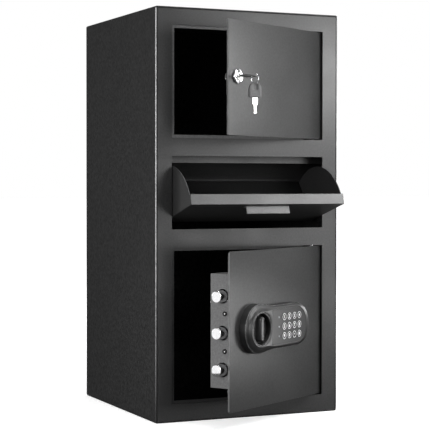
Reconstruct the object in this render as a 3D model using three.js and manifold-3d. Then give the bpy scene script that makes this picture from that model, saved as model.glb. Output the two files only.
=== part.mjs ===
// Deposit safe: a free-standing steel cabinet with a key-locked upper compartment, a tilt-out
// deposit hopper and a lower compartment behind a door with an electronic lock.
//
// Sizes are in millimetres. Inside the safe group X runs right from the cabinet's left side, Y runs
// back from its front face and Z runs up from the floor. The exported group has its origin at the
// centre of the base. Door and hopper pieces are drawn shut, in those same coordinates, and their
// groups then swing them to the open pose.

import * as THREE from 'three';
import { mergeVertices } from 'three/addons/utils/BufferGeometryUtils.js';
import Module from 'manifold-3d';

const wasm = await Module();
wasm.setup();

const { degToRad } = THREE.MathUtils;

// Clearances shared by the whole part
const seatGap = 0.3;
const runningGap = 0.3;

// Cabinet
const cabinetWidth = 346;
const cabinetDepth = 351;
const cabinetHeight = 700;
const shellSheet = 3;
const shellBend = 3.5;
const frameSheet = 3;
const backSheet = 3;
const anchorHoleRadius = 6;
const baseAnchorSpacing = 180;
const backAnchorSpacing = 180;
const backAnchorHeight = 170;

// Openings in the front frame, from the floor up
const sideMargin = 29.5;
const bottomMargin = 31;
const lowerOpeningHeight = 264;
const lowerRail = 31;
const hopperOpeningHeight = 124;
const upperRail = 30;
const topMargin = 30;
const openingCorner = 1.2;

// Doors and their pin hinges
const doorSheet = 3;
const doorGap = 1.5;
const hingeEdgeGap = 3.3;
const upperDoorCorner = 1.5;
const lowerDoorCorner = 4;
const pivotInset = 14.5;
const pivotDepth = 13.5;
const hingePinRadius = 4;
const hingeTabSheet = 2.5;
const hingeTabReach = 8;
const hingeTabHalfWidth = 10;
const hingeTabDrop = 2;
const hingeBarSheet = 2;
const hingeBarReach = 20;
const hingeBarEndSheet = 3;
const upperDoorAngle = 29.5;
const lowerDoorAngle = 30;

// Door stops behind the frame
const stopLip = 5.5;
const stopOverlap = 15;
const stopSheet = 2;
const stopHingeGap = 1.5;
const upperStopReturn = 7;
const lowerStopReturn = 11.5;

// Shelf over the hopper
const shelfSheet = 2.5;
const shelfBelowSill = 11.5;

// Deposit hopper
const hopperAngle = 75;
const hopperGap = 1;
const hopperFootGap = 2;
const flapSheet = 1.5;
const flapFlange = 18;
const flapHem = 8;
const hopperPivotDepth = 12;
const hopperPivotRise = 30.5;
const cheekSheet = 1.5;
const cheekInset = 0.5;
const cheekRadius = 98;
const cheekCentreDepth = -8;
const cheekCentreRise = 23;
const bucketSheet = 1.5;
const bucketFlat = 12;
const bucketRise = 3.3;
const bucketTailRadius = 88.3;
const hopperPinRadius = 4;
const hopperPinHead = 6.5;
const hopperPinHeadThickness = 2;
const bracketSheet = 2.5;
const bracketOffset = 1.2;
const bracketHalfHeight = 21;
const bracketDepth = 22;
const bracketFlange = 16;
const headerDepth = 36;
const headerDrop = 11.5;
const headerSheet = 1.5;
const headerFlange = 14;
const hoodRadius = 90;
const hoodSheet = 1.5;
const hoodEndAngle = 35.6;
const hoodLip = 3.7;
const pullWidth = 80;
const pullLip = 14;
const pullSheet = 1.5;
const pullLeg = 11;
const pullDrop = 8;
const pullReturn = 4;

// Cam lock and keys of the upper door
const lockInset = 24;
const lockHeight = 97;
const lockHeadRadius = 12;
const lockHeadThickness = 4;
const lockBodyRadius = 9.3;
const lockBodyEnd = 13;
const plugRadius = 6;
const camLength = 30;
const camHalfWidth = 7;
const camSheet = 2.5;
const camStudRadius = 4;
const camNutRadius = 6.5;
const camNutThickness = 3;
const lockNutRadius = 13;
const lockNutThickness = 4;
const keyReach = 37;
const bowLength = 25;
const bowWidth = 23;
const bowThickness = 3.6;
const bowRim = 3.5;
const bowSlotLength = 9;
const bowSlotWidth = 7;
const bowEdge = 0.8;
const bladeWidth = 9;
const bladeTipWidth = 5;
const bladeLength = 26;
const bladeThickness = 1.8;
const bladeStubDepth = 5;
const keyRingRadius = 9.2;
const keyRingWire = 0.75;
const keyRingGap = 0.4;
const keyRingTurn = 16;
const spareKeySeat = 1.4;
const spareKeyTurn = 27;

// Electronic lock on the lower door's face
const panelInset = 28;
const knobEndRadius = 41;
const panelLength = 190;
const keypadHalfHeight = 36.25;
const panelProud = 17.5;
const panelWall = 12;
const panelShoulder = 15.5;
const wallDraft = 0.8;
const shoulderInset = 1.6;
const shoulderRadius = 35;
const plateauRadius = 30;
const plateauInset = 4.25;
const plateauEndInset = 11.5;
const waistAngle = 85;
const waistEase = 18;
const waistLength = 46;
const lockZFromDoorFoot = 131.5;
const knobRecessRadius = 25.5;
const knobRecessDepth = 11;
const knobRadius = 24;
const dialThickness = 3.5;
const gripProud = 1.5;
const gripLength = 42;
const gripFootWidth = 14;
const gripFrontWidth = 9.5;
const spindleRadius = 5;
const keypadRim = 2.2;
const keypadFromRecess = 5.5;
const keypadPocket = 7;
const faceSheet = 2;
const keyColumns = 4;
const keyRows = 3;
const columnPitch = 15.6;
const rowPitch = 15.9;
const lastColumnFromEnd = 36.4;
const keyCapRadius = 5.9;
const keyFlangeRadius = 6.9;
const keyFlangeSheet = 1.7;
const keyProud = 1;
const keyTravel = 1;
const boardSheet = 1.5;
const lampFromFirstColumn = 14.4;
const lampRadius = 1.7;
const lampProud = 0.4;
const lampStripHalfWidth = 3;

// Bolt work and lock box behind the lower door
const boxInset = 24;
const boxHingeGap = 32;
const boxDepth = 54.5;
const boxFromDoorFoot = 35;
const boxHeight = 188;
const boxSheet = 1.5;
const boltRadius = 10;
const boltAxisDepth = 30.5;
const boltPitch = 60.4;
const boltsBelowBoxMiddle = 2.8;
const boltChamfer = 1.5;
const boltFromEdge = 6;
const boltHoleGap = 2;
const boltLength = 42;
const boltThrow = 14;
const carriageSheet = 3;
const carriageEnd = 10;
const webSheet = 2.5;
const webDepth = 17;
const webRise = 20;
const webFall = 34;
const webReach = 44;
const notchWidth = 6;
const notchDepth = 5;
const leverSheet = 3;
const leverDepth = 12;
const leverHubRadius = 10;
const leverPinRadius = 2.5;
const leverPinClear = 0.5;
const plungerRadius = 2.5;
const plungerStroke = 4;
const plungerShown = 6;
const coilWidth = 24;
const coilHeight = 30;
const coilDepth = 18;

// Battery tray and reset button in the lock box
const trayWidth = 70;
const trayHeight = 62;
const trayDepth = 19;
const traySheet = 1.5;
const trayFromBoxEnd = 14;
const trayFromBoxFoot = 16;
const trayRim = 3;
const cellRadius = 7.25;
const cellLength = 50.5;
const cellCount = 4;
const cellOverlap = 0.1;
const lidSheet = 2;
const lidBarrel = 2;
const resetRadius = 3;
const resetFlange = 4.6;
const resetFlangeSheet = 2.5;
const resetProud = 3;
const resetFromBoxEnd = 20;
const resetFromBoxTop = 20;

// Places worked out from those sizes
const openingLeft = sideMargin;
const openingRight = cabinetWidth - sideMargin;
const lowerSill = bottomMargin;
const lowerHead = lowerSill + lowerOpeningHeight;
const hopperSill = lowerHead + lowerRail;
const hopperHead = hopperSill + hopperOpeningHeight;
const upperSill = hopperHead + upperRail;
const upperHead = cabinetHeight - topMargin;
const insideLeft = shellSheet + seatGap;
const insideRight = cabinetWidth - shellSheet - seatGap;
const frameBack = frameSheet;
const doorLeft = openingLeft + doorGap;
const doorRight = openingRight - hingeEdgeGap;
const pivotX = openingRight - pivotInset;
const hingeBarLeft = pivotX - hingeBarReach;
const lowerDoorFoot = lowerSill + doorGap;
const lowerDoorTop = lowerHead - doorGap;
const upperDoorFoot = upperSill + doorGap;
const upperDoorTop = upperHead - doorGap;
const shelfTop = upperSill - shelfBelowSill;
const shelfUnderside = shelfTop - shelfSheet;
const hopperPivotZ = hopperSill + hopperPivotRise;

// Materials
const finish = (color, roughness, metalness) =>
  new THREE.MeshStandardMaterial({ color, roughness, metalness });
const bodyPaint = finish(0x3a3b3c, 0.75, 0.1);
const frontPaint = finish(0x4c4d4e, 0.7, 0.1);
const doorPaint = finish(0x565758, 0.7, 0.1);
const greySteel = finish(0x8c8e90, 0.5, 0.5);
const brightSteel = finish(0xc9ccce, 0.25, 0.9);
const chrome = finish(0xdadcde, 0.12, 1);
const blackPlastic = finish(0x1c1d1e, 0.45, 0);
const keyPlastic = finish(0x55585a, 0.45, 0);
const capPlastic = finish(0x2a2b2c, 0.4, 0);
const lampPlastic = finish(0xd8dadb, 0.3, 0);
const boardResin = finish(0x1f5a38, 0.6, 0);
const redPlastic = finish(0xb02a22, 0.4, 0);

// Closed meshes become solids, are joined or cut, and come back as geometry
function toSolid(geometry) {
  const bare = geometry.clone();
  bare.deleteAttribute('normal');
  bare.deleteAttribute('uv');
  const merged = mergeVertices(bare, 1e-4);
  return new wasm.Manifold(new wasm.Mesh({
    numProp: 3,
    vertProperties: new Float32Array(merged.attributes.position.array),
    triVerts: new Uint32Array(merged.index.array),
  }));
}

function toGeometry(solid) {
  const mesh = solid.getMesh();
  const geometry = new THREE.BufferGeometry();
  geometry.setAttribute('position', new THREE.BufferAttribute(mesh.vertProperties, 3));
  geometry.setIndex(new THREE.BufferAttribute(mesh.triVerts, 1));
  geometry.computeVertexNormals();
  return geometry;
}

function join(first, ...others) {
  return toGeometry(others.reduce((sum, next) => sum.add(toSolid(next)), toSolid(first)));
}

function cut(body, ...tools) {
  return toGeometry(tools.reduce((rest, tool) => rest.subtract(toSolid(tool)), toSolid(body)));
}

// Basic forms, placed by their limits in cabinet coordinates
function box(x0, x1, y0, y1, z0, z1) {
  const geometry = new THREE.BoxGeometry(x1 - x0, y1 - y0, z1 - z0);
  return geometry.translate((x0 + x1) / 2, (y0 + y1) / 2, (z0 + z1) / 2);
}

function extrude(shape, length, bevel, curveSegments) {
  return new THREE.ExtrudeGeometry(shape, {
    depth: length - 2 * bevel,
    bevelEnabled: bevel > 0,
    bevelThickness: bevel,
    bevelSize: bevel,
    bevelOffset: -bevel,
    bevelSegments: 2,
    curveSegments,
  }).translate(0, 0, bevel);
}

// A shape drawn as seen from the front, in X and Z, running from yFront back to yBack
function frontPlate(shape, yFront, yBack, { bevel = 0, curveSegments = 8 } = {}) {
  const basis = new THREE.Matrix4().makeBasis(
    new THREE.Vector3(1, 0, 0), new THREE.Vector3(0, 0, 1), new THREE.Vector3(0, -1, 0));
  return extrude(shape, yBack - yFront, bevel, curveSegments).applyMatrix4(basis).translate(0, yBack, 0);
}

// A shape drawn as seen from the right side, in Y and Z, running from x0 to x1
function sidePlate(shape, x0, x1, { bevel = 0, curveSegments = 8 } = {}) {
  const basis = new THREE.Matrix4().makeBasis(
    new THREE.Vector3(0, 1, 0), new THREE.Vector3(0, 0, 1), new THREE.Vector3(1, 0, 0));
  return extrude(shape, x1 - x0, bevel, curveSegments).applyMatrix4(basis).translate(x0, 0, 0);
}

// A shape drawn as seen from above, in X and Y, running from z0 to z1
function levelPlate(shape, z0, z1, { bevel = 0, curveSegments = 8 } = {}) {
  return extrude(shape, z1 - z0, bevel, curveSegments).translate(0, 0, z0);
}

function rodAlongX(x0, x1, y, z, radius, sides = 24) {
  const geometry = new THREE.CylinderGeometry(radius, radius, x1 - x0, sides);
  return geometry.rotateZ(Math.PI / 2).translate((x0 + x1) / 2, y, z);
}

function rodAlongY(y0, y1, x, z, radius, sides = 24) {
  return new THREE.CylinderGeometry(radius, radius, y1 - y0, sides).translate(x, (y0 + y1) / 2, z);
}

function rodAlongZ(z0, z1, x, y, radius, sides = 24) {
  const geometry = new THREE.CylinderGeometry(radius, radius, z1 - z0, sides);
  return geometry.rotateX(Math.PI / 2).translate(x, y, (z0 + z1) / 2);
}

// A profile of [radius, along] pairs turned about the line through x, z that runs along Y
function turnedAlongY(profile, x, z, sides = 24) {
  const points = profile.map(([radius, along]) => new THREE.Vector2(radius, along));
  return new THREE.LatheGeometry(points, sides).translate(x, 0, z);
}

// The same about a line along X, with the profile's second value running along X
function turnedAlongX(profile, y, z, sides = 24) {
  const points = profile.map(([radius, along]) => new THREE.Vector2(radius, along));
  return new THREE.LatheGeometry(points, sides).rotateZ(-Math.PI / 2).translate(0, y, z);
}

function outline(points) {
  return new THREE.Shape(points.map(([u, v]) => new THREE.Vector2(u, v)));
}

function roundedRectangle(u0, v0, u1, v1, radius) {
  const shape = new THREE.Shape();
  shape.absarc(u1 - radius, v0 + radius, radius, -Math.PI / 2, 0, false);
  shape.absarc(u1 - radius, v1 - radius, radius, 0, Math.PI / 2, false);
  shape.absarc(u0 + radius, v1 - radius, radius, Math.PI / 2, Math.PI, false);
  shape.absarc(u0 + radius, v0 + radius, radius, Math.PI, 1.5 * Math.PI, false);
  shape.closePath();
  return shape;
}

function chamferedRectangle(u0, v0, u1, v1, corner) {
  return outline([
    [u0 + corner, v0], [u1 - corner, v0], [u1, v0 + corner], [u1, v1 - corner],
    [u1 - corner, v1], [u0 + corner, v1], [u0, v1 - corner], [u0, v0 + corner],
  ]);
}

// A closed body through shapes as seen from the front, each at its own place along Y, the rearmost first
function loftAlongY(sections, divisions) {
  const rings = sections.map(([shape]) => {
    const points = shape.getPoints(divisions);
    return points.filter((point, index) => point.distanceTo(points[(index + 1) % points.length]) > 1e-4);
  });
  const count = rings[0].length;
  const faces = [];
  for (let ring = 0; ring < rings.length - 1; ring += 1) {
    for (let step = 0; step < count; step += 1) {
      const here = ring * count + step;
      const next = ring * count + ((step + 1) % count);
      faces.push(here, next, next + count, here, next + count, here + count);
    }
  }
  const last = (rings.length - 1) * count;
  for (const [a, b, c] of THREE.ShapeUtils.triangulateShape(rings[0], [])) {
    faces.push(a, c, b);
  }
  for (const [a, b, c] of THREE.ShapeUtils.triangulateShape(rings[rings.length - 1], [])) {
    faces.push(last + a, last + b, last + c);
  }
  const places = rings.flatMap((ring, index) => ring.flatMap(({ x, y }) => [x, sections[index][1], y]));
  const geometry = new THREE.BufferGeometry();
  geometry.setAttribute('position', new THREE.Float32BufferAttribute(places, 3));
  geometry.setIndex(faces);
  geometry.computeVertexNormals();
  return geometry;
}

function disc(u, v, radius, sides = 24) {
  const corners = Array.from({ length: sides }, (_, corner) => {
    const angle = (2 * Math.PI * corner) / sides;
    return [u + radius * Math.cos(angle), v + radius * Math.sin(angle)];
  });
  return outline(corners);
}

function piece(group, name, geometry, material) {
  const mesh = new THREE.Mesh(geometry, material);
  mesh.name = name;
  group.add(mesh);
  return mesh;
}

// A group whose contents turn about a line through a point of the cabinet
function swingGroup(parent, pivot, axis, angle) {
  const turn = new THREE.Group();
  turn.position.copy(pivot);
  turn.quaternion.setFromAxisAngle(axis, angle);
  const contents = new THREE.Group();
  contents.position.copy(pivot).negate();
  turn.add(contents);
  parent.add(turn);
  return contents;
}

const AXIS_X = new THREE.Vector3(1, 0, 0);
const AXIS_Z = new THREE.Vector3(0, 0, 1);

// Cabinet: wrapped shell, welded front frame and back, door stops and shelf
function addCabinet(safe) {
  const wrap = roundedRectangle(0, 0, cabinetWidth, cabinetHeight, shellBend);
  wrap.holes.push(roundedRectangle(
    shellSheet, shellSheet, cabinetWidth - shellSheet, cabinetHeight - shellSheet,
    shellBend - shellSheet));
  const baseAnchors = [-0.5, 0.5].map((side) => rodAlongZ(
    -1, shellSheet + 1, cabinetWidth / 2 + side * baseAnchorSpacing, cabinetDepth / 2, anchorHoleRadius));
  piece(safe, 'cabinet_shell', cut(frontPlate(wrap, 0, cabinetDepth, { curveSegments: 4 }), ...baseAnchors),
    bodyPaint);

  const back = roundedRectangle(
    insideLeft, insideLeft, insideRight, cabinetHeight - insideLeft, shellBend - shellSheet);
  for (const side of [-0.5, 0.5]) {
    back.holes.push(disc(cabinetWidth / 2 + side * backAnchorSpacing, backAnchorHeight, anchorHoleRadius));
  }
  piece(safe, 'back_panel', frontPlate(back, cabinetDepth - backSheet, cabinetDepth, { curveSegments: 6 }),
    bodyPaint);

  piece(safe, 'front_frame', frontFrame(), frontPaint);
  piece(safe, 'upper_stop_frame', stopFrame(upperSill, upperHead, upperStopReturn), frontPaint);
  piece(safe, 'lower_stop_frame', stopFrame(lowerSill, lowerHead, lowerStopReturn), frontPaint);

  piece(safe, 'compartment_shelf', box(
    insideLeft, insideRight, frameBack + seatGap, cabinetDepth - backSheet - seatGap,
    shelfUnderside, shelfTop), bodyPaint);
}

// The front plate with its three openings, and the four tabs that hold the door pins
function frontFrame() {
  const plate = roundedRectangle(
    insideLeft, insideLeft, insideRight, cabinetHeight - insideLeft, shellBend - shellSheet);
  for (const [sill, head] of [[lowerSill, lowerHead], [hopperSill, hopperHead], [upperSill, upperHead]]) {
    plate.holes.push(roundedRectangle(openingLeft, sill, openingRight, head, openingCorner));
  }
  const sheet = frontPlate(plate, 0, frameSheet, { curveSegments: 3 });
  const tabs = [lowerSill, upperSill].map((sill) => hingeTab(sill - hingeTabDrop - hingeTabSheet));
  tabs.push(...[lowerHead, upperHead].map((head) => hingeTab(head + hingeTabDrop)));
  return join(sheet, ...tabs);
}

function hingeTab(z) {
  const shape = roundedRectangle(
    pivotX - hingeTabHalfWidth, frameSheet - 1, pivotX + hingeTabHalfWidth, pivotDepth + hingeTabReach, 1);
  shape.holes.push(disc(pivotX, pivotDepth, hingePinRadius + runningGap));
  return levelPlate(shape, z, z + hingeTabSheet, { curveSegments: 2 });
}

// A lip round three sides of a door opening, with a return that the bolts or the cam catch behind
function stopFrame(sill, head, returnDepth) {
  const stopFront = frameBack + seatGap;
  const stopBack = stopFront + stopSheet;
  const right = hingeBarLeft - stopHingeGap;
  const left = openingLeft - stopOverlap;
  const foot = Math.max(sill - stopOverlap, sill > shelfTop ? shelfTop + seatGap : insideLeft);
  const top = Math.min(head + stopOverlap, cabinetHeight - insideLeft);
  const lip = outline([
    [left, foot], [right, foot], [right, sill + stopLip], [openingLeft + stopLip, sill + stopLip],
    [openingLeft + stopLip, head - stopLip], [right, head - stopLip], [right, top], [left, top],
  ]);
  const edge = openingLeft + stopLip;
  return join(
    frontPlate(lip, stopFront, stopBack),
    box(edge - stopSheet, edge, stopBack - 1, stopBack + returnDepth, sill + stopLip, head - stopLip));
}

// Hopper surroundings fixed to the cabinet: header, hood and the two pivot brackets
function addHopperHousing(safe) {
  const headerTop = shelfUnderside - seatGap;
  const headerFoot = hopperHead - headerDrop;
  piece(safe, 'hopper_header', sidePlate(outline([
    [headerDepth, headerFoot], [headerDepth + headerSheet, headerFoot],
    [headerDepth + headerSheet, headerTop - headerSheet],
    [headerDepth + headerFlange, headerTop - headerSheet],
    [headerDepth + headerFlange, headerTop], [headerDepth, headerTop],
  ]), insideLeft, insideRight), frontPaint);

  const start = Math.acos((headerDepth + headerSheet + seatGap - hopperPivotDepth) / hoodRadius);
  const end = degToRad(hoodEndAngle);
  const lipTurn = hoodSheet / hoodRadius;
  const around = (radius, angle) => [
    hopperPivotDepth + radius * Math.cos(angle), hopperPivotZ + radius * Math.sin(angle)];
  const hood = new THREE.Shape();
  hood.absarc(hopperPivotDepth, hopperPivotZ, hoodRadius + hoodSheet, start, end, true);
  hood.lineTo(...around(hoodRadius - hoodLip, end));
  hood.lineTo(...around(hoodRadius - hoodLip, end + lipTurn));
  hood.absarc(hopperPivotDepth, hopperPivotZ, hoodRadius, end + lipTurn, start, false);
  hood.closePath();
  piece(safe, 'anti_fishing_hood', sidePlate(hood, insideLeft, insideRight), frontPaint);

  const leftFace = openingLeft - bracketOffset;
  const rightFace = openingRight + bracketOffset;
  piece(safe, 'hopper_bracket_left', pivotBracket(leftFace - bracketSheet, leftFace, -1), frontPaint);
  piece(safe, 'hopper_bracket_right', pivotBracket(rightFace, rightFace + bracketSheet, 1), frontPaint);
}

// An angle welded behind the frame, with its flange pointing away from the opening
function pivotBracket(x0, x1, away) {
  const front = frameBack + seatGap;
  const foot = hopperPivotZ - bracketHalfHeight;
  const top = hopperPivotZ + bracketHalfHeight;
  const flange = away < 0
    ? box(x1 - bracketFlange, x1, front, front + bracketSheet, foot, top)
    : box(x0, x0 + bracketFlange, front, front + bracketSheet, foot, top);
  return cut(
    join(box(x0, x1, front, bracketDepth, foot, top), flange),
    rodAlongX(x0 - 1, x1 + 1, hopperPivotDepth, hopperPivotZ, hopperPinRadius + runningGap));
}

// The tilting hopper: flap, two cheeks, bucket floor, pull and pivot pins
function addHopper(safe) {
  const pivot = new THREE.Vector3(0, hopperPivotDepth, hopperPivotZ);
  const hopper = swingGroup(safe, pivot, AXIS_X, degToRad(hopperAngle));
  const left = openingLeft + hopperGap;
  const right = openingRight - hopperGap;
  const foot = hopperSill + hopperFootGap;
  const top = hopperHead - hopperGap;

  piece(hopper, 'hopper_flap', sidePlate(outline([
    [0, foot], [flapHem, foot], [flapHem, foot + flapSheet], [flapSheet, foot + flapSheet],
    [flapSheet, top - flapSheet], [flapFlange, top - flapSheet], [flapFlange, top], [0, top],
  ]), left, right), frontPaint);

  const bucketTop = foot + bucketRise;
  const inFlap = flapSheet + seatGap;
  const tailAngle = degToRad(hoodEndAngle - hopperAngle) - 2 * seatGap / bucketTailRadius;
  const tail = [
    hopperPivotDepth + bucketTailRadius * Math.cos(tailAngle),
    hopperPivotZ + bucketTailRadius * Math.sin(tailAngle)];
  const bend = [inFlap + bucketFlat, bucketTop];
  const slope = Math.atan2(tail[1] - bend[1], tail[0] - bend[0]);
  const below = [bucketSheet * Math.sin(slope), -bucketSheet * Math.cos(slope)];
  const bendBelow = bucketSheet * Math.tan(-slope / 2);
  piece(hopper, 'hopper_bucket', sidePlate(outline([
    [inFlap, bucketTop], [inFlap, bucketTop - bucketSheet],
    [bend[0] - bendBelow, bucketTop - bucketSheet],
    [tail[0] + below[0], tail[1] + below[1]], tail, bend,
  ]), left + cheekInset + cheekSheet + seatGap, right - cheekInset - cheekSheet - seatGap), frontPaint);

  const cheekTop = top - flapSheet - seatGap;
  const cheekFoot = bucketTop - bucketSheet;
  const centreZ = hopperSill + cheekCentreRise;
  const arcStart = Math.acos((flapFlange - cheekCentreDepth) / cheekRadius);
  const arcEnd = Math.asin((tail[1] + below[1] - centreZ) / cheekRadius);
  const cheek = new THREE.Shape();
  cheek.moveTo(inFlap, cheekFoot);
  cheek.lineTo(bend[0] - bendBelow, cheekFoot);
  cheek.absarc(cheekCentreDepth, centreZ, cheekRadius, arcEnd, arcStart, false);
  cheek.lineTo(flapFlange, cheekTop);
  cheek.lineTo(inFlap, cheekTop);
  cheek.closePath();
  cheek.holes.push(disc(hopperPivotDepth, hopperPivotZ, hopperPinRadius + runningGap));
  const cheekAt = (x) => sidePlate(cheek, x, x + cheekSheet, { curveSegments: 14 });
  const leftCheek = left + cheekInset;
  const rightCheek = right - cheekInset - cheekSheet;
  piece(hopper, 'hopper_cheek_left', cheekAt(leftCheek), frontPaint);
  piece(hopper, 'hopper_cheek_right', cheekAt(rightCheek), frontPaint);

  // Each pin is headed inside the bucket and runs out through its bracket
  const pinReach = openingLeft - bracketOffset - bracketSheet - 1;
  const headInside = leftCheek + cheekSheet + seatGap;
  const pinProfile = [
    [0, pinReach], [hopperPinRadius, pinReach], [hopperPinRadius, headInside],
    [hopperPinHead, headInside], [hopperPinHead, headInside + hopperPinHeadThickness],
    [0, headInside + hopperPinHeadThickness],
  ];
  const leftPin = turnedAlongX(pinProfile, hopperPivotDepth, hopperPivotZ, 20);
  const rightPin = leftPin.clone().translate(-cabinetWidth / 2, -hopperPivotDepth, 0);
  rightPin.rotateZ(Math.PI).translate(cabinetWidth / 2, hopperPivotDepth, 0);
  piece(hopper, 'hopper_pin_left', leftPin, brightSteel);
  piece(hopper, 'hopper_pin_right', rightPin, brightSteel);

  const pullTop = top - pullDrop;
  const middle = cabinetWidth / 2;
  piece(hopper, 'hopper_pull', sidePlate(outline([
    [-seatGap, pullTop], [-pullLip, pullTop], [-pullLip, pullTop - pullReturn],
    [-pullLip + pullSheet, pullTop - pullReturn], [-pullLip + pullSheet, pullTop - pullSheet],
    [-seatGap - pullSheet, pullTop - pullSheet], [-seatGap - pullSheet, pullTop - pullLeg],
    [-seatGap, pullTop - pullLeg],
  ]), middle - pullWidth / 2, middle + pullWidth / 2), greySteel);
}

// Vertical bar welded behind a door's hinge edge, with an end tab and a pin at the top and foot
function hingeBar(foot, top, sill, head) {
  const back = doorSheet + seatGap;
  const left = pivotX - hingeTabHalfWidth;
  const right = pivotX + hingeTabHalfWidth - 1;
  const barFoot = foot + hingeTabDrop;
  const barTop = top - hingeTabDrop;
  const endTab = roundedRectangle(left, back, right, pivotDepth + hingeTabReach - 1, 1);
  return join(
    box(hingeBarLeft, right, back, back + hingeBarSheet, barFoot, barTop),
    levelPlate(endTab, barFoot, barFoot + hingeBarEndSheet, { curveSegments: 2 }),
    levelPlate(endTab, barTop - hingeBarEndSheet, barTop, { curveSegments: 2 }),
    rodAlongZ(barTop - 1, head + hingeTabDrop + hingeTabSheet, pivotX, pivotDepth, hingePinRadius, 20),
    rodAlongZ(sill - hingeTabDrop - hingeTabSheet, barFoot + 1, pivotX, pivotDepth, hingePinRadius, 20));
}

// Upper door: plate, hinge bar, and a cam lock with its keys
function addUpperDoor(safe) {
  const pivot = new THREE.Vector3(pivotX, pivotDepth, 0);
  const door = swingGroup(safe, pivot, AXIS_Z, degToRad(upperDoorAngle));
  const lockX = doorLeft + lockInset;
  const lockZ = upperSill + lockHeight;

  const plate = roundedRectangle(doorLeft, upperDoorFoot, doorRight, upperDoorTop, upperDoorCorner);
  plate.holes.push(disc(lockX, lockZ, lockBodyRadius + seatGap));
  piece(door, 'upper_door_panel', frontPlate(plate, 0, doorSheet, { curveSegments: 6 }), doorPaint);
  piece(door, 'upper_hinge_bar', hingeBar(upperDoorFoot, upperDoorTop, upperSill, upperHead), brightSteel);

  const headFront = -seatGap - lockHeadThickness;
  const bore = plugRadius + runningGap;
  piece(door, 'lock_cylinder', turnedAlongY([
    [bore, headFront], [lockHeadRadius - 2, headFront], [lockHeadRadius, headFront + 1.5],
    [lockHeadRadius, -seatGap], [lockBodyRadius, -seatGap], [lockBodyRadius, lockBodyEnd],
    [bore, lockBodyEnd], [bore, headFront],
  ], lockX, lockZ, 32), chrome);
  const nutFront = doorSheet + seatGap;
  const nut = cut(
    rodAlongY(nutFront, nutFront + lockNutThickness, lockX, lockZ, lockNutRadius, 6),
    rodAlongY(nutFront - 1, nutFront + lockNutThickness + 1, lockX, lockZ, lockBodyRadius + seatGap));
  piece(door, 'lock_nut', nut, brightSteel);

  addCamLock(door, lockX, lockZ, headFront);
}

// The turning parts: plug, cam pointing down while unlocked, and the key left in the plug
function addCamLock(door, lockX, lockZ, headFront) {
  const plugEnd = lockBodyEnd + seatGap;
  const camFront = plugEnd + seatGap;
  const camBack = camFront + camSheet;
  const nutFront = camBack + seatGap;
  const plug = turnedAlongY([
    [0, headFront], [plugRadius, headFront], [plugRadius, plugEnd], [camStudRadius, plugEnd],
    [camStudRadius, nutFront], [camNutRadius, nutFront], [camNutRadius, nutFront + camNutThickness],
    [0, nutFront + camNutThickness],
  ], lockX, lockZ);
  const slotDepth = bladeStubDepth + 1;
  const slotHalfWidth = bladeWidth / 2 + seatGap;
  const slotHalfHeight = bladeThickness / 2 + seatGap;
  const slot = box(
    lockX - slotHalfWidth, lockX + slotHalfWidth, headFront - 1, headFront + slotDepth,
    lockZ - slotHalfHeight, lockZ + slotHalfHeight);
  piece(door, 'lock_plug', cut(plug, slot), brightSteel);

  const camShape = new THREE.Shape();
  camShape.absarc(lockX, lockZ, camHalfWidth + 2, degToRad(-30), degToRad(210), false);
  camShape.lineTo(lockX - camHalfWidth, lockZ - camLength);
  camShape.lineTo(lockX + camHalfWidth, lockZ - camLength);
  camShape.closePath();
  camShape.holes.push(disc(lockX, lockZ, camStudRadius + seatGap));
  piece(door, 'lock_cam', frontPlate(camShape, camFront, camBack), brightSteel);

  // The key lies flat in the plug, with its bow outwards, so it is drawn hanging and then turned
  const bowEnd = new THREE.Vector3(lockX, -keyReach, lockZ);
  const outward = new THREE.Matrix4().makeBasis(
    new THREE.Vector3(1, 0, 0), new THREE.Vector3(0, 0, 1), new THREE.Vector3(0, -1, 0));
  const place = new THREE.Matrix4().makeTranslation(bowEnd.x, bowEnd.y, bowEnd.z).multiply(outward);
  const stub = keyReach + headFront - bowLength + bladeStubDepth;
  piece(door, 'inserted_key_bow', keyBow().applyMatrix4(place), keyPlastic);
  piece(door, 'inserted_key_blade', keyBlade(stub, bladeWidth).applyMatrix4(place), brightSteel);

  addSpareKey(door, new THREE.Vector3(lockX, -keyReach + bowRim / 2, lockZ));
}

// A key's bow, hanging: its tip at the origin, its face in X and Z, its slot just under the rim
function keyBow() {
  const half = bowWidth / 2;
  const bow = new THREE.Shape();
  bow.moveTo(-half, -bowLength);
  bow.lineTo(half, -bowLength);
  bow.lineTo(half, -half);
  bow.absarc(0, -half, half, 0, Math.PI, false);
  bow.closePath();
  const slotHalf = bowSlotWidth / 2;
  bow.holes.push(chamferedRectangle(-slotHalf, -bowRim - bowSlotLength, slotHalf, -bowRim, 1));
  return frontPlate(bow, -bowThickness / 2, bowThickness / 2, { bevel: bowEdge, curveSegments: 8 });
}

function keyBlade(length, tipWidth) {
  const top = -bowLength - seatGap;
  const shoulder = top - length * 0.4;
  return frontPlate(outline([
    [-bladeWidth / 2, top], [-bladeWidth / 2, shoulder], [-tipWidth / 2, shoulder - 2],
    [-tipWidth / 2, top - length + tipWidth / 3], [-tipWidth / 6, top - length],
    [tipWidth / 6, top - length], [tipWidth / 2, top - length + tipWidth / 3],
    [tipWidth / 2, shoulder - 2], [bladeWidth / 2, shoulder], [bladeWidth / 2, top],
  ]), -bladeThickness / 2, bladeThickness / 2);
}

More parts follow.
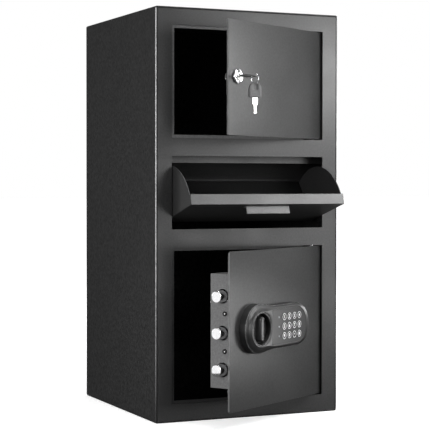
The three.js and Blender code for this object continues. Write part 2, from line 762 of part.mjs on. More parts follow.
// Split ring round the bow's rim, and the spare key that hangs from the ring
function addSpareKey(door, rim) {
  const ringCentre = rim.z + bowThickness / 2 + keyRingGap + keyRingWire - keyRingRadius;
  const ring = new THREE.TorusGeometry(keyRingRadius, keyRingWire, 8, 28);
  ring.rotateY(Math.PI / 2).rotateZ(degToRad(-keyRingTurn)).translate(rim.x, rim.y, ringCentre);
  piece(door, 'key_ring', ring, brightSteel);

  const wire = ringCentre - keyRingRadius;
  const place = new THREE.Matrix4().makeTranslation(rim.x, rim.y, wire + spareKeySeat + bowRim);
  place.multiply(new THREE.Matrix4().makeRotationZ(degToRad(-spareKeyTurn)));
  piece(door, 'spare_key_bow', keyBow().applyMatrix4(place), keyPlastic);
  piece(door, 'spare_key_blade', keyBlade(bladeLength, bladeTipWidth).applyMatrix4(place), brightSteel);
}

// Lower door: plate, hinge bar, electronic lock in front and bolt work in its box behind
function addLowerDoor(safe) {
  const pivot = new THREE.Vector3(pivotX, pivotDepth, 0);
  const door = swingGroup(safe, pivot, AXIS_Z, degToRad(lowerDoorAngle));
  const knob = { x: doorLeft + panelInset + knobEndRadius, z: lowerDoorFoot + lockZFromDoorFoot };

  const plate = roundedRectangle(doorLeft, lowerDoorFoot, doorRight, lowerDoorTop, lowerDoorCorner);
  plate.holes.push(disc(knob.x, knob.z, spindleRadius + runningGap));
  piece(door, 'lower_door_panel', frontPlate(plate, 0, doorSheet, { curveSegments: 6 }), doorPaint);
  piece(door, 'lower_hinge_bar', hingeBar(lowerDoorFoot, lowerDoorTop, lowerSill, lowerHead), brightSteel);

  addLockPanel(door, knob);
  addKnob(door, knob);
  addBoltWork(door, knob);
  addLockBox(door);
}

// The lock panel seen from the front: a round knob end that narrows to a round-ended keypad
function panelOutline(knob, ring, half, endInset) {
  const endX = panelEnd(knob) - endInset - half;
  const leave = degToRad(waistAngle);
  const neck = new THREE.Vector2(ring * Math.cos(leave), ring * Math.sin(leave));
  const eased = new THREE.Vector2(waistEase * Math.sin(leave), -waistEase * Math.cos(leave)).add(neck);
  const far = neck.x + waistLength;
  const shape = new THREE.Shape();
  shape.absarc(endX, knob.z, half, -Math.PI / 2, Math.PI / 2, false);
  shape.lineTo(knob.x + far, knob.z + half);
  shape.bezierCurveTo(
    knob.x + far - waistEase, knob.z + half, knob.x + eased.x, knob.z + eased.y,
    knob.x + neck.x, knob.z + neck.y);
  shape.absarc(knob.x, knob.z, ring, leave, 2 * Math.PI - leave, false);
  shape.bezierCurveTo(
    knob.x + eased.x, knob.z - eased.y, knob.x + far - waistEase, knob.z - half,
    knob.x + far, knob.z - half);
  shape.closePath();
  return shape;
}

function panelEnd(knob) {
  return knob.x - knobEndRadius + panelLength;
}

function keypadOutline(knob, inset) {
  const plateauHalf = keypadHalfHeight - plateauInset;
  const half = plateauHalf - keypadRim - inset;
  const endX = panelEnd(knob) - plateauEndInset - plateauHalf;
  const startX = knob.x + knobRecessRadius + keypadFromRecess + inset;
  const shape = new THREE.Shape();
  shape.absarc(endX, knob.z, half, -Math.PI / 2, Math.PI / 2, false);
  shape.lineTo(startX + 4, knob.z + half);
  shape.absarc(startX + 4, knob.z + half - 4, 4, Math.PI / 2, Math.PI, false);
  shape.absarc(startX + 4, knob.z - half + 4, 4, Math.PI, 1.5 * Math.PI, false);
  shape.closePath();
  return shape;
}

function addLockPanel(door, knob) {
  const front = -panelProud;
  const pocketFloor = front + keypadPocket;
  const body = loftAlongY([
    [panelOutline(knob, knobEndRadius, keypadHalfHeight, 0), -seatGap],
    [panelOutline(knob, knobEndRadius, keypadHalfHeight, 0), wallDraft - panelWall],
    [panelOutline(knob, knobEndRadius - wallDraft, keypadHalfHeight - wallDraft, wallDraft), -panelWall],
    [panelOutline(knob, shoulderRadius, keypadHalfHeight - shoulderInset, shoulderInset), -panelShoulder],
    [panelOutline(knob, plateauRadius, keypadHalfHeight - plateauInset, plateauEndInset), front],
  ], 11);
  piece(door, 'lock_housing', cut(
    body,
    rodAlongY(front - 1, front + knobRecessDepth, knob.x, knob.z, knobRecessRadius, 36),
    rodAlongY(front, 1, knob.x, knob.z, spindleRadius + runningGap),
    frontPlate(keypadOutline(knob, 0), front - 1, pocketFloor, { curveSegments: 8 }),
  ), blackPlastic);

  const lastColumn = panelEnd(knob) - lastColumnFromEnd;
  const firstColumn = lastColumn - (keyColumns - 1) * columnPitch;
  const lampX = firstColumn - lampFromFirstColumn;
  const face = keypadOutline(knob, seatGap);
  const rowZ = (row) => knob.z + ((keyRows - 1) / 2 - row) * rowPitch;
  for (let row = 0; row < keyRows; row += 1) {
    face.holes.push(disc(lampX, rowZ(row), lampRadius + seatGap, 12));
    for (let column = 0; column < keyColumns; column += 1) {
      face.holes.push(disc(firstColumn + column * columnPitch, rowZ(row), keyCapRadius + runningGap, 16));
    }
  }
  piece(door, 'keypad_face', frontPlate(face, front, front + faceSheet, { curveSegments: 6 }), blackPlastic);

  const flangeFront = front + faceSheet + seatGap;
  const keyBack = flangeFront + keyFlangeSheet;
  const boardFront = keyBack + keyTravel + seatGap / 2;
  const halfRows = (keyRows / 2) * rowPitch;
  piece(door, 'circuit_board', box(
    lampX - 2 * lampStripHalfWidth, lastColumn + keyFlangeRadius, boardFront,
    pocketFloor - seatGap, knob.z - halfRows, knob.z + halfRows), boardResin);

  const lamps = [0, 1, 2].map((row) => turnedAlongY([
    [0, front - lampProud], [lampRadius * 0.7, front - lampProud], [lampRadius, front],
    [lampRadius, flangeFront + 0.5], [0, flangeFront + 0.5],
  ], lampX, rowZ(row), 12));
  piece(door, 'indicator_lens', join(box(
    lampX - lampStripHalfWidth, lampX + lampStripHalfWidth, flangeFront, flangeFront + 1.2,
    knob.z - halfRows + rowPitch / 4, knob.z + halfRows - rowPitch / 4), ...lamps), lampPlastic);

  const keyFront = front - keyProud;
  for (let row = 0; row < keyRows; row += 1) {
    for (let column = 0; column < keyColumns; column += 1) {
      const number = row * keyColumns + column + 1;
      piece(door, `key_${String(number).padStart(2, '0')}`, turnedAlongY([
        [0, keyFront], [keyCapRadius - 0.6, keyFront], [keyCapRadius, keyFront + 0.6],
        [keyCapRadius, flangeFront], [keyFlangeRadius, flangeFront], [keyFlangeRadius, keyBack],
        [0, keyBack],
      ], firstColumn + column * columnPitch, rowZ(row), 16), capPlastic);
    }
  }
}

// The knob with its upright grip, the spindle through the door, and the lever that drives the bolts
function addKnob(door, knob) {
  const front = -panelProud;
  const knobBack = front + knobRecessDepth - runningGap;
  const dialFront = knobBack - dialThickness;
  const dial = turnedAlongY([
    [0, dialFront], [knobRadius - 1.5, dialFront], [knobRadius, dialFront + 1], [knobRadius, knobBack],
    [0, knobBack],
  ], knob.x, knob.z, 36);
  const gripFront = front - gripProud;
  const gripShape = (inset, width) => roundedRectangle(
    knob.x - width / 2, knob.z - gripLength / 2 + inset, knob.x + width / 2, knob.z + gripLength / 2 - inset,
    width / 2 - 0.5);
  const grip = loftAlongY([
    [gripShape(0, gripFootWidth), dialFront + 1], [gripShape(0, gripFootWidth), dialFront - 0.5],
    [gripShape(0.3, gripFrontWidth + 1.5), dialFront - 3], [gripShape(0.6, gripFrontWidth), gripFront + 1],
    [gripShape(1.6, gripFrontWidth - 2), gripFront],
  ], 4);
  piece(door, 'knob', join(dial, grip), blackPlastic);

  const leverBack = leverDepth + leverSheet;
  piece(door, 'knob_spindle', rodAlongY(knobBack + seatGap, leverBack, knob.x, knob.z, spindleRadius, 20),
    brightSteel);

  // A quarter turn of the lever, 45 degrees either side of upright, gives the bolts their throw
  const pin = leverPin(knob);
  const arm = frontPlate(disc(knob.x, knob.z, leverHubRadius), leverDepth, leverBack, { curveSegments: 12 });
  const ear = frontPlate(disc(pin.x, pin.z, leverPinRadius + 2), leverDepth, leverBack, { curveSegments: 8 });
  piece(door, 'bolt_lever', cut(
    join(arm, ear, rodAlongY(leverDepth, webDepth + webSheet + 1.5, pin.x, pin.z, leverPinRadius, 16)),
    rodAlongY(leverDepth - 1, leverBack + 0.5, knob.x, knob.z, spindleRadius + runningGap, 20)), brightSteel);
}

function leverPin(knob) {
  const halfThrow = boltThrow / 2;
  return { x: knob.x + halfThrow, z: knob.z + halfThrow, radius: halfThrow * Math.SQRT2 };
}

// Three round bolts on a carriage that slides across the door, and the solenoid that blocks it
function addBoltWork(door, knob) {
  const boltEnd = doorLeft + boltFromEdge;
  const flangeX = boltEnd + boltLength + seatGap;
  const middleZ = lowerDoorFoot + boxFromDoorFoot + boxHeight / 2 - boltsBelowBoxMiddle;
  const names = ['bolt_lower', 'bolt_middle', 'bolt_upper'];
  names.forEach((name, index) => {
    const z = middleZ + (index - 1) * boltPitch;
    piece(door, name, turnedAlongX([
      [0, boltEnd], [boltRadius - boltChamfer, boltEnd], [boltRadius, boltEnd + boltChamfer],
      [boltRadius, boltEnd + boltLength], [0, boltEnd + boltLength],
    ], boltAxisDepth, z, 28), chrome);
  });

  const pin = leverPin(knob);
  const webRight = flangeX + webReach + boltThrow;
  const webTop = knob.z + webRise;
  const plungerX = webRight - notchWidth - boltThrow;
  const slotHalf = leverPinRadius + leverPinClear;
  const notchAt = (x) => box(
    x - notchWidth / 2, x + notchWidth / 2, webDepth - 1, webDepth + webSheet + 1,
    webTop - notchDepth, webTop + 1);
  const web = frontPlate(roundedRectangle(
    flangeX, knob.z - webFall, webRight, webTop, 1), webDepth, webDepth + webSheet, { curveSegments: 3 });
  const pinSlot = box(
    pin.x - slotHalf, pin.x + slotHalf, webDepth - 1, webDepth + webSheet + 1,
    pin.z - slotHalf, knob.z + pin.radius + slotHalf);
  const flange = box(
    flangeX, flangeX + carriageSheet, webDepth, boltAxisDepth + boltRadius + 2,
    middleZ - boltPitch - carriageEnd, middleZ + boltPitch + carriageEnd);
  piece(door, 'bolt_carriage', cut(
    join(flange, web), pinSlot, notchAt(plungerX), notchAt(plungerX + boltThrow)), brightSteel);

  const plungerFoot = webTop + seatGap;
  const coilFoot = plungerFoot + plungerShown;
  const plungerY = webDepth + webSheet / 2;
  const coilFront = doorSheet + seatGap;
  piece(door, 'solenoid_coil', cut(
    box(plungerX - coilWidth / 2, plungerX + coilWidth / 2, coilFront, plungerY + coilDepth / 2,
      coilFoot, coilFoot + coilHeight),
    rodAlongZ(coilFoot - 1, coilFoot + coilHeight + 1, plungerX, plungerY, plungerRadius + runningGap, 16)),
  greySteel);
  piece(door, 'solenoid_plunger', rodAlongZ(
    plungerFoot, coilFoot + coilHeight, plungerX, plungerY, plungerRadius, 16), brightSteel);
}

// Folded steel cover over the bolt work, with the battery tray and reset button in its back
function addLockBox(door) {
  const left = doorLeft + boxInset;
  const right = hingeBarLeft - boxHingeGap;
  const foot = lowerDoorFoot + boxFromDoorFoot;
  const top = foot + boxHeight;
  const front = doorSheet + seatGap;
  const middleZ = foot + boxHeight / 2 - boltsBelowBoxMiddle;
  const tray = {
    x0: right - trayFromBoxEnd - trayWidth, x1: right - trayFromBoxEnd,
    z0: foot + trayFromBoxFoot, z1: foot + trayFromBoxFoot + trayHeight,
  };
  const reset = { x: right - resetFromBoxEnd, z: top - resetFromBoxTop };

  const boltHoles = [-1, 0, 1].map((step) => rodAlongX(
    left - 1, left + boxSheet + 1, boltAxisDepth, middleZ + step * boltPitch, boltRadius + boltHoleGap, 28));
  piece(door, 'lock_box_cover', cut(
    box(left, right, front, boxDepth, foot, top),
    box(left + boxSheet, right - boxSheet, front - 1, boxDepth - boxSheet, foot + boxSheet, top - boxSheet),
    box(tray.x0, tray.x1, boxDepth - boxSheet - 1, boxDepth + 1, tray.z0, tray.z1),
    rodAlongY(boxDepth - boxSheet - 1, boxDepth + 1, reset.x, reset.z, resetRadius + runningGap),
    ...boltHoles), greySteel);

  addBatteryTray(door, tray);
  const flangeBack = boxDepth - boxSheet - runningGap;
  const flangeFront = flangeBack - resetFlangeSheet;
  piece(door, 'reset_button', turnedAlongY([
    [0, flangeFront], [resetFlange, flangeFront], [resetFlange, flangeBack], [resetRadius, flangeBack],
    [resetRadius, boxDepth + resetProud], [0, boxDepth + resetProud],
  ], reset.x, reset.z, 16), redPlastic);
}

function addBatteryTray(door, tray) {
  const rimBack = boxDepth + seatGap + 1;
  const inner = box(
    tray.x0 + seatGap + traySheet, tray.x1 - seatGap - traySheet, boxDepth - trayDepth + traySheet,
    rimBack + 1, tray.z0 + seatGap + traySheet, tray.z1 - seatGap - traySheet);
  const well = box(
    tray.x0 + seatGap, tray.x1 - seatGap, boxDepth - trayDepth, boxDepth + 0.5,
    tray.z0 + seatGap, tray.z1 - seatGap);
  const rim = box(
    tray.x0 - trayRim, tray.x1 + trayRim, boxDepth + seatGap, rimBack,
    tray.z0 - trayRim, tray.z1 + trayRim);
  piece(door, 'battery_tray', cut(join(well, rim), inner), blackPlastic);

  const cellPitch = 2 * cellRadius - cellOverlap;
  const cellY = boxDepth - trayDepth + traySheet + seatGap + cellRadius;
  const cells = Array.from({ length: cellCount }, (_, index) => {
    const x = (tray.x0 + tray.x1) / 2 + (index - (cellCount - 1) / 2) * cellPitch;
    const foot = (tray.z0 + tray.z1 - cellLength) / 2;
    return rodAlongZ(foot, foot + cellLength, x, cellY, cellRadius, 16);
  });
  piece(door, 'battery_cells', join(...cells), greySteel);

  const lidFront = rimBack + seatGap;
  const lid = frontPlate(roundedRectangle(
    tray.x0 - trayRim + 1, tray.z0 - trayRim + 1, tray.x1 + trayRim - 1, tray.z1 + trayRim - 1, 2),
  lidFront, lidFront + lidSheet, { curveSegments: 4 });
  const barrel = rodAlongX(
    tray.x0 + 6, tray.x1 - 6, lidFront + lidBarrel, tray.z0 - trayRim + 1, lidBarrel, 12);
  piece(door, 'battery_lid', join(lid, barrel), blackPlastic);
}

const safe = new THREE.Group();
safe.position.set(-cabinetWidth / 2, -cabinetDepth / 2, 0);
addCabinet(safe);
addHopperHousing(safe);
addHopper(safe);
addUpperDoor(safe);
addLowerDoor(safe);

const depositSafe = new THREE.Group();
depositSafe.add(safe);
depositSafe.updateMatrixWorld(true);

export default depositSafe;
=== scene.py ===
"""Looks of the deposit safe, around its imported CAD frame.

Lengths are in millimetres in cabinet coordinates: X runs right from the cabinet's left side, Y runs
back from its front face, Z runs up from the floor. What rides on a door is drawn with the door
shut, and the door's matrix takes it to the open pose and to metres in the frame's coordinates.
Lights and camera are placed in metres in the frame's coordinates.
"""

import math

import bmesh
import bpy
from mathutils import Matrix, Vector


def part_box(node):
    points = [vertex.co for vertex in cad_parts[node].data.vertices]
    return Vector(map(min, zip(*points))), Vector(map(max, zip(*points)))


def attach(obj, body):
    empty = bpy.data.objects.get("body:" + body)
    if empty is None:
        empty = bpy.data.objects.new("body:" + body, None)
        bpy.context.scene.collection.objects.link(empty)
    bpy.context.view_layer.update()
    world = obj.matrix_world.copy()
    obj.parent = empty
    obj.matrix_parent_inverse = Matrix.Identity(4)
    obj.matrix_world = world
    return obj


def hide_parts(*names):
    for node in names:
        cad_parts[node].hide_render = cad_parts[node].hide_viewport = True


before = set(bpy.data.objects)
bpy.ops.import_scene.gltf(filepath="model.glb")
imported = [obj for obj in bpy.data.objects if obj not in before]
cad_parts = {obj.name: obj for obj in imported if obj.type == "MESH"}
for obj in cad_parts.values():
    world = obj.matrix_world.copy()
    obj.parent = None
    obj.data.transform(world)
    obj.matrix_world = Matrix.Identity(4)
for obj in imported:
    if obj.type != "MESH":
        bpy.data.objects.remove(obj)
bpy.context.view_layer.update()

MM = 1000.0  # millimetres in a metre

# Sizes that the CAD model has too
WIDTH, DEPTH, HEIGHT = 346.0, 351.0, 700.0
SHEET = 3.0
HINGE_LINE = (302.0, 13.5)
UPPER_ANGLE, LOWER_ANGLE = 29.5, 30.0
LOCK = (55.0, 577.0)
KEY_TIP = -37.0
KNOB = (100.0, 164.0)
PANEL_END = 249.0
PANEL_HALF = 36.25
FRONT = -17.5
COLUMN_PITCH, ROW_PITCH = 15.6, 15.9
LAST_COLUMN = PANEL_END - 36.4

# Matrices from closed cabinet coordinates to the frame
CABINET = Matrix.Scale(1 / MM, 4) @ Matrix.Translation((-WIDTH / 2, -DEPTH / 2, 0))


def swung_open(degrees):
    """A door's matrix: a turn about its pins, then the cabinet's matrix."""
    pins = Vector((*HINGE_LINE, 0))
    turn = Matrix.Rotation(math.radians(degrees), 4, "Z")
    return CABINET @ Matrix.Translation(pins) @ turn @ Matrix.Translation(-pins)


UPPER = swung_open(UPPER_ANGLE)
LOWER = swung_open(LOWER_ANGLE)
# Stands up what is drawn lying in X and Y: its Y goes up and its Z comes forward
FACING = Matrix(((1, 0, 0, 0), (0, 0, -1, 0), (0, 1, 0, 0), (0, 0, 0, 1)))


# Materials

# A noise stays mostly between these values, so ramps run from the one to the other
NOISE_LOW, NOISE_HIGH = 0.3, 0.7


def node_of(tree, kind, **inputs):
    """A new shader node with these input values."""
    node = tree.nodes.new(kind)
    for name, value in inputs.items():
        node.inputs[name].default_value = value
    return node


def new_material(name, roughness, metallic=0.0, specular=0.5):
    """A material with a Principled shader, its node tree and object coordinates in metres."""
    material = bpy.data.materials.new(name)
    material.use_nodes = True
    tree = material.node_tree
    shader = tree.nodes["Principled BSDF"]
    shader.inputs["Roughness"].default_value = roughness
    shader.inputs["Metallic"].default_value = metallic
    shader.inputs["Specular IOR Level"].default_value = specular
    coordinates = tree.nodes.new("ShaderNodeTexCoord").outputs["Object"]
    return material, tree, shader, coordinates


def noise(tree, coordinates, size, detail=2.0, stretch=None):
    """Noise whose features are about size millimetres across."""
    if stretch:
        mapping = node_of(tree, "ShaderNodeMapping", Scale=stretch)
        tree.links.new(coordinates, mapping.inputs["Vector"])
        coordinates = mapping.outputs["Vector"]
    texture = node_of(tree, "ShaderNodeTexNoise", Scale=MM / size, Detail=detail)
    tree.links.new(coordinates, texture.inputs["Vector"])
    return texture.outputs["Fac"]


def mapped(tree, value, from_low, from_high, to_low=0.0, to_high=1.0):
    """Takes a value from one range to another, and stops it at the ends."""
    remap = node_of(tree, "ShaderNodeMapRange", **{
        "From Min": from_low, "From Max": from_high, "To Min": to_low, "To Max": to_high})
    tree.links.new(value, remap.inputs["Value"])
    return remap.outputs["Result"]


def math_node(tree, operation, first, second):
    """One value made from two."""
    node = tree.nodes.new("ShaderNodeMath")
    node.operation = operation
    tree.links.new(first, node.inputs[0])
    tree.links.new(second, node.inputs[1])
    return node.outputs["Value"]


def vector_node(tree, operation, vector, other=(0, 0, 0)):
    """One value made from a vector, or from it and a fixed one."""
    node = tree.nodes.new("ShaderNodeVectorMath")
    node.operation = operation
    tree.links.new(vector, node.inputs[0])
    node.inputs[1].default_value = other
    return node.outputs["Value"]


def tinted(tree, shader, factor, dark, light, low=NOISE_LOW, high=NOISE_HIGH):
    """Colours a shader from dark to light as the factor goes from low to high."""
    ramp = tree.nodes.new("ShaderNodeValToRGB")
    for element, position, colour in zip(ramp.color_ramp.elements, (low, high), (dark, light)):
        element.position = position
        element.color = (*colour, 1)
    tree.links.new(factor, ramp.inputs["Fac"])
    tree.links.new(ramp.outputs["Color"], shader.inputs["Base Color"])


def roughened(tree, shader, factor, low, high):
    """Lets a shader's roughness follow a noise, from low to high."""
    result = mapped(tree, factor, NOISE_LOW, NOISE_HIGH, low, high)
    tree.links.new(result, shader.inputs["Roughness"])


def bumped(tree, shader, *layers):
    """Stacks bump layers of (height, depth in millimetres, strength)."""
    normal = None
    for height, depth, strength in layers:
        bump = node_of(tree, "ShaderNodeBump", Strength=strength, Distance=depth / MM)
        tree.links.new(height, bump.inputs["Height"])
        if normal:
            tree.links.new(normal, bump.inputs["Normal"])
        normal = bump.outputs["Normal"]
    tree.links.new(normal, shader.inputs["Normal"])


def grey(value):
    """A grey with a trace of blue."""
    return (value, value, value * 1.01)


def powder_coat(name, dark, light, roughness, pebble, depth, specular=0.5):
    """Baked powder paint: pebbles like orange peel, a fine grain on them and slight mottling.

    pebble is the width of a pebble and depth its height, both in millimetres.
    """
    material, tree, shader, coordinates = new_material(name, roughness, specular=specular)
    pebbles = node_of(tree, "ShaderNodeTexVoronoi", Scale=MM / pebble)
    pebbles.feature = "SMOOTH_F1"
    pebbles.inputs["Smoothness"].default_value = 0.6
    tree.links.new(coordinates, pebbles.inputs["Vector"])
    mottle = noise(tree, coordinates, size=pebble * 2.2, detail=4.0)
    grain = noise(tree, coordinates, size=pebble * 0.35)
    clouds = noise(tree, coordinates, size=60.0)
    tinted(tree, shader, mottle, dark, light)
    roughened(tree, shader, clouds, roughness - 0.04, roughness + 0.04)
    bumped(tree, shader, (pebbles.outputs["Distance"], depth, 0.8), (grain, depth * 0.3, 0.5))
    return material


def plated_steel(name, dark, light, roughness, stretch=(1, 1, 14), depth=0.006):
    """Plated or ground steel with faint lines along one direction."""
    material, tree, shader, coordinates = new_material(name, roughness, metallic=1.0)
    lines = noise(tree, coordinates, size=2.0, detail=3.0, stretch=stretch)
    patches = noise(tree, coordinates, size=9.0, detail=3.0)
    tinted(tree, shader, patches, dark, light)
    roughened(tree, shader, lines, roughness - 0.06, roughness + 0.08)
    bumped(tree, shader, (lines, depth, 0.5))
    return material


def moulded(name, dark, light, roughness, grain=0.5, depth=0.012, specular=0.5):
    """Moulded plastic, or smooth paint, with a fine grain."""
    material, tree, shader, coordinates = new_material(name, roughness, specular=specular)
    fine = noise(tree, coordinates, size=grain)
    wide = noise(tree, coordinates, size=14.0)
    tinted(tree, shader, wide, dark, light)
    roughened(tree, shader, wide, roughness - 0.03, roughness + 0.05)
    bumped(tree, shader, (fine, depth, 0.5))
    return material


def highlight_paint(name, dark, light, roughness):
    """A painted highlight along an edge: dark at the foot, pale from the middle up, and uneven."""
    material, tree, shader, coordinates = new_material(name, roughness, specular=0.8)
    split = tree.nodes.new("ShaderNodeSeparateXYZ")
    tree.links.new(coordinates, split.inputs["Vector"])
    climb = mapped(tree, split.outputs["Z"], from_low=0.02, from_high=0.42)
    patches = noise(tree, coordinates, size=5.0, detail=3.0)
    uneven = math_node(tree, "MULTIPLY", climb, patches)
    tinted(tree, shader, uneven, dark, light, low=0.0, high=0.5)
    bumped(tree, shader, (noise(tree, coordinates, size=1.2), 0.02, 0.5))
    return material


# Powder paints: dark and light, roughness, width and height of the pebbles
case_coat = powder_coat("case_coat", grey(0.007), grey(0.036), 0.50, 2.4, 0.20, specular=0.28)
# Painted highlight: the upper stop frame's front lip is made lighter than the front paint so it
# looks lit
lip_highlight_coat = powder_coat("lip_highlight_coat", grey(0.07), grey(0.12), 0.35, 1.6, 0.03)
# Near black: a black paint made darker still as painted shade for the deep inside of the hopper
bucket_coat = powder_coat("bucket_coat", grey(0.004), grey(0.007), 0.50, 1.3, 0.05, specular=0.2)
front_coat = powder_coat("front_coat", grey(0.015), grey(0.029), 0.32, 1.4, 0.036)
door_coat = powder_coat("door_coat", grey(0.018), grey(0.035), 0.35, 1.5, 0.024)
# A little lighter than the front's paint: painted light for the hopper, which catches more light
hopper_coat = powder_coat("hopper_coat", grey(0.022), grey(0.034), 0.38, 1.3, 0.05, specular=0.8)
pull_coat = powder_coat("pull_coat", grey(0.10), grey(0.13), 0.40, 1.1, 0.03)
box_coat = powder_coat("box_coat", grey(0.135), grey(0.20), 0.38, 1.3, 0.04)

# Painted highlights and painted shade on edges: dark and light, roughness
# Painted highlight on the doors' free edges
door_edge_highlight = moulded("door_edge_highlight", grey(0.10), grey(0.20), 0.30, grain=1.2, specular=0.7)
# Painted shade in the seam between the shell and the front frame
seam_shade = moulded("seam_shade", grey(0.004), grey(0.006), 0.55, specular=0.2)
# Painted highlight on the outer half of the shell's front corner rims, paler towards the top
corner_highlight = highlight_paint("corner_highlight", grey(0.04), grey(0.62), 0.24)

# Metals: dark and light, roughness, stretch of their lines
zinc = plated_steel("zinc", (0.46, 0.46, 0.47), (0.62, 0.62, 0.63), 0.34)
dull_steel = plated_steel("dull_steel", (0.09, 0.09, 0.09), (0.14, 0.14, 0.14), 0.42)
polished = plated_steel("polished", (0.78, 0.78, 0.79), (0.86, 0.86, 0.87), 0.12, (1, 1, 1), 0.002)
key_metal = plated_steel(
    "key_metal", (0.75, 0.75, 0.74), (0.85, 0.85, 0.84), 0.22, (1, 1, 6), 0.004)

# Plastics: dark and light, roughness
lock_black = moulded("lock_black", grey(0.014), grey(0.018), 0.32)
# Painted highlight on the lock panel's outer edge and the groove round the knob
lock_highlight = moulded("lock_highlight", grey(0.07), grey(0.11), 0.26)
knob_black = moulded("knob_black", grey(0.016), grey(0.020), 0.30)
screw_black = moulded("screw_black", grey(0.010), grey(0.014), 0.30)
cap_black = moulded("cap_black", grey(0.012), grey(0.016), 0.38)
bow_grey = moulded("bow_grey", grey(0.050), grey(0.085), 0.38)
legend_white = moulded("legend_white", (0.82, 0.83, 0.84), (0.88, 0.89, 0.90), 0.45)
lens_grey = moulded("lens_grey", (0.30, 0.31, 0.32), (0.36, 0.37, 0.38), 0.15, depth=0.003)
board_green = moulded("board_green", (0.015, 0.10, 0.045), (0.02, 0.13, 0.06), 0.35)
reset_red = moulded("reset_red", (0.42, 0.015, 0.012), (0.48, 0.02, 0.015), 0.28)
cell_wrap = moulded("cell_wrap", grey(0.06), grey(0.08), 0.25, depth=0.004)


# Lines of points, as pairs

def arc(u, v, radius, start, end, count):
    """Points from start to end degrees, both included."""
    angles = [math.radians(start + (end - start) * step / count) for step in range(count + 1)]
    return [(u + radius * math.cos(angle), v + radius * math.sin(angle)) for angle in angles]


def circle(u, v, radius, count):
    """Points round a circle, the first one once."""
    return arc(u, v, radius, 0, 360, count)[:-1]


def line(first, last, count):
    """Points along a straight line, both ends included."""
    return [tuple(a + (b - a) * step / count for a, b in zip(first, last))
            for step in range(count + 1)]


def bezier(a, b, c, d, count):
    """Points along a cubic curve from a to d, which b and c pull at."""
    points = []
    for step in range(count + 1):
        t = step / count
        s = 1 - t
        points.append(tuple(
            s ** 3 * a[k] + 3 * s * s * t * b[k] + 3 * s * t * t * c[k] + t ** 3 * d[k]
            for k in range(2)))
    return points


def rounded(u0, v0, u1, v1, radius, count=6):
    """A rectangle with round corners."""
    return (arc(u1 - radius, v0 + radius, radius, -90, 0, count)
            + arc(u1 - radius, v1 - radius, radius, 0, 90, count)
            + arc(u0 + radius, v1 - radius, radius, 90, 180, count)
            + arc(u0 + radius, v0 + radius, radius, 180, 270, count))


def upright(points, y):
    """Points of a front view, in X and Z, set at a depth."""
    return [(x, y, z) for x, z in points]


def sideways(points, x):
    """Points of a side view, in Y and Z, set at a place along X."""
    return [(x, y, z) for y, z in points]


# Meshes

class Form:
    """Collects rings of points and joins them into one mesh."""

    def __init__(self):
        self.bm = bmesh.new()

    def ring(self, points):
        """New vertices at these points."""
        return [self.bm.verts.new(point) for point in points]

    def bridge(self, first, second):
        """Joins two rings with as many points, or a ring and a single point."""
        for index in range(max(len(first), len(second))):
            corners = [ring[step % len(ring)] for ring, step in (
                (first, index), (first, index + 1), (second, index + 1), (second, index))]
            self.bm.faces.new(tuple(dict.fromkeys(corners)))

    def loft(self, *loops):
        """Joins loops one after another and gives their rings."""
        rings = [self.ring(loop) for loop in loops]
        for first, second in zip(rings, rings[1:]):
            self.bridge(first, second)
        return rings

    def solid(self, *loops):
        """A loft that is closed at both ends."""
        rings = self.loft(*loops)
        self.bm.faces.new(rings[0])
        self.bm.faces.new(rings[-1])

    def fill(self, *rings):
        """A flat face inside the first ring, around the others."""
        edges = []
        for ring in rings:
            for index, vertex in enumerate(ring):
                pair = (vertex, ring[(index + 1) % len(ring)])
                edges.append(self.bm.edges.get(pair) or self.bm.edges.new(pair))
        bmesh.ops.triangle_fill(self.bm, use_beauty=True, use_dissolve=False, edges=edges)

    def add(self, mesh):
        """Takes in a copy of a mesh and removes the mesh."""
        self.bm.from_mesh(mesh)
        bpy.data.meshes.remove(mesh)

    def mesh(self, name):
        """Gives the form as a mesh, and ends the form."""
        mesh = bpy.data.meshes.new(name)
        self.bm.to_mesh(mesh)
        self.bm.free()
        return mesh


def shade(mesh, crease):
    """Shades a mesh smooth, apart from edges that turn by more than crease degrees."""
    mesh.shade_smooth()
    mesh.set_sharp_from_angle(angle=math.radians(crease))


def place(name, form, matrix, body, *materials, hides=(), crease=40):
    """Makes an object of a form, moves it to the frame's coordinates and lets it ride on a body."""
    bmesh.ops.recalc_face_normals(form.bm, faces=form.bm.faces)
    mesh = form.mesh(name)
    mesh.transform(matrix)
    for material in materials:
        mesh.materials.append(material)
    shade(mesh, crease)
    piece = bpy.data.objects.new(name, mesh)
    bpy.context.scene.collection.objects.link(piece)
    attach(piece, body)
    if hides:
        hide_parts(*hides)
    return piece


def apply_modifiers(piece):
    """Gives a piece the mesh that its modifiers make of it."""
    graph = bpy.context.evaluated_depsgraph_get()
    old = piece.data
    mesh = bpy.data.meshes.new_from_object(piece.evaluated_get(graph))
    piece.modifiers.clear()
    piece.data = mesh
    bpy.data.meshes.remove(old)


# For dressed nodes: points nearer than MERGE metres are one, and angles are in degrees
MERGE = 1e-6
FLAT_ANGLE, EASE_ANGLE, DRESSED_CREASE = 0.4, 42, 48


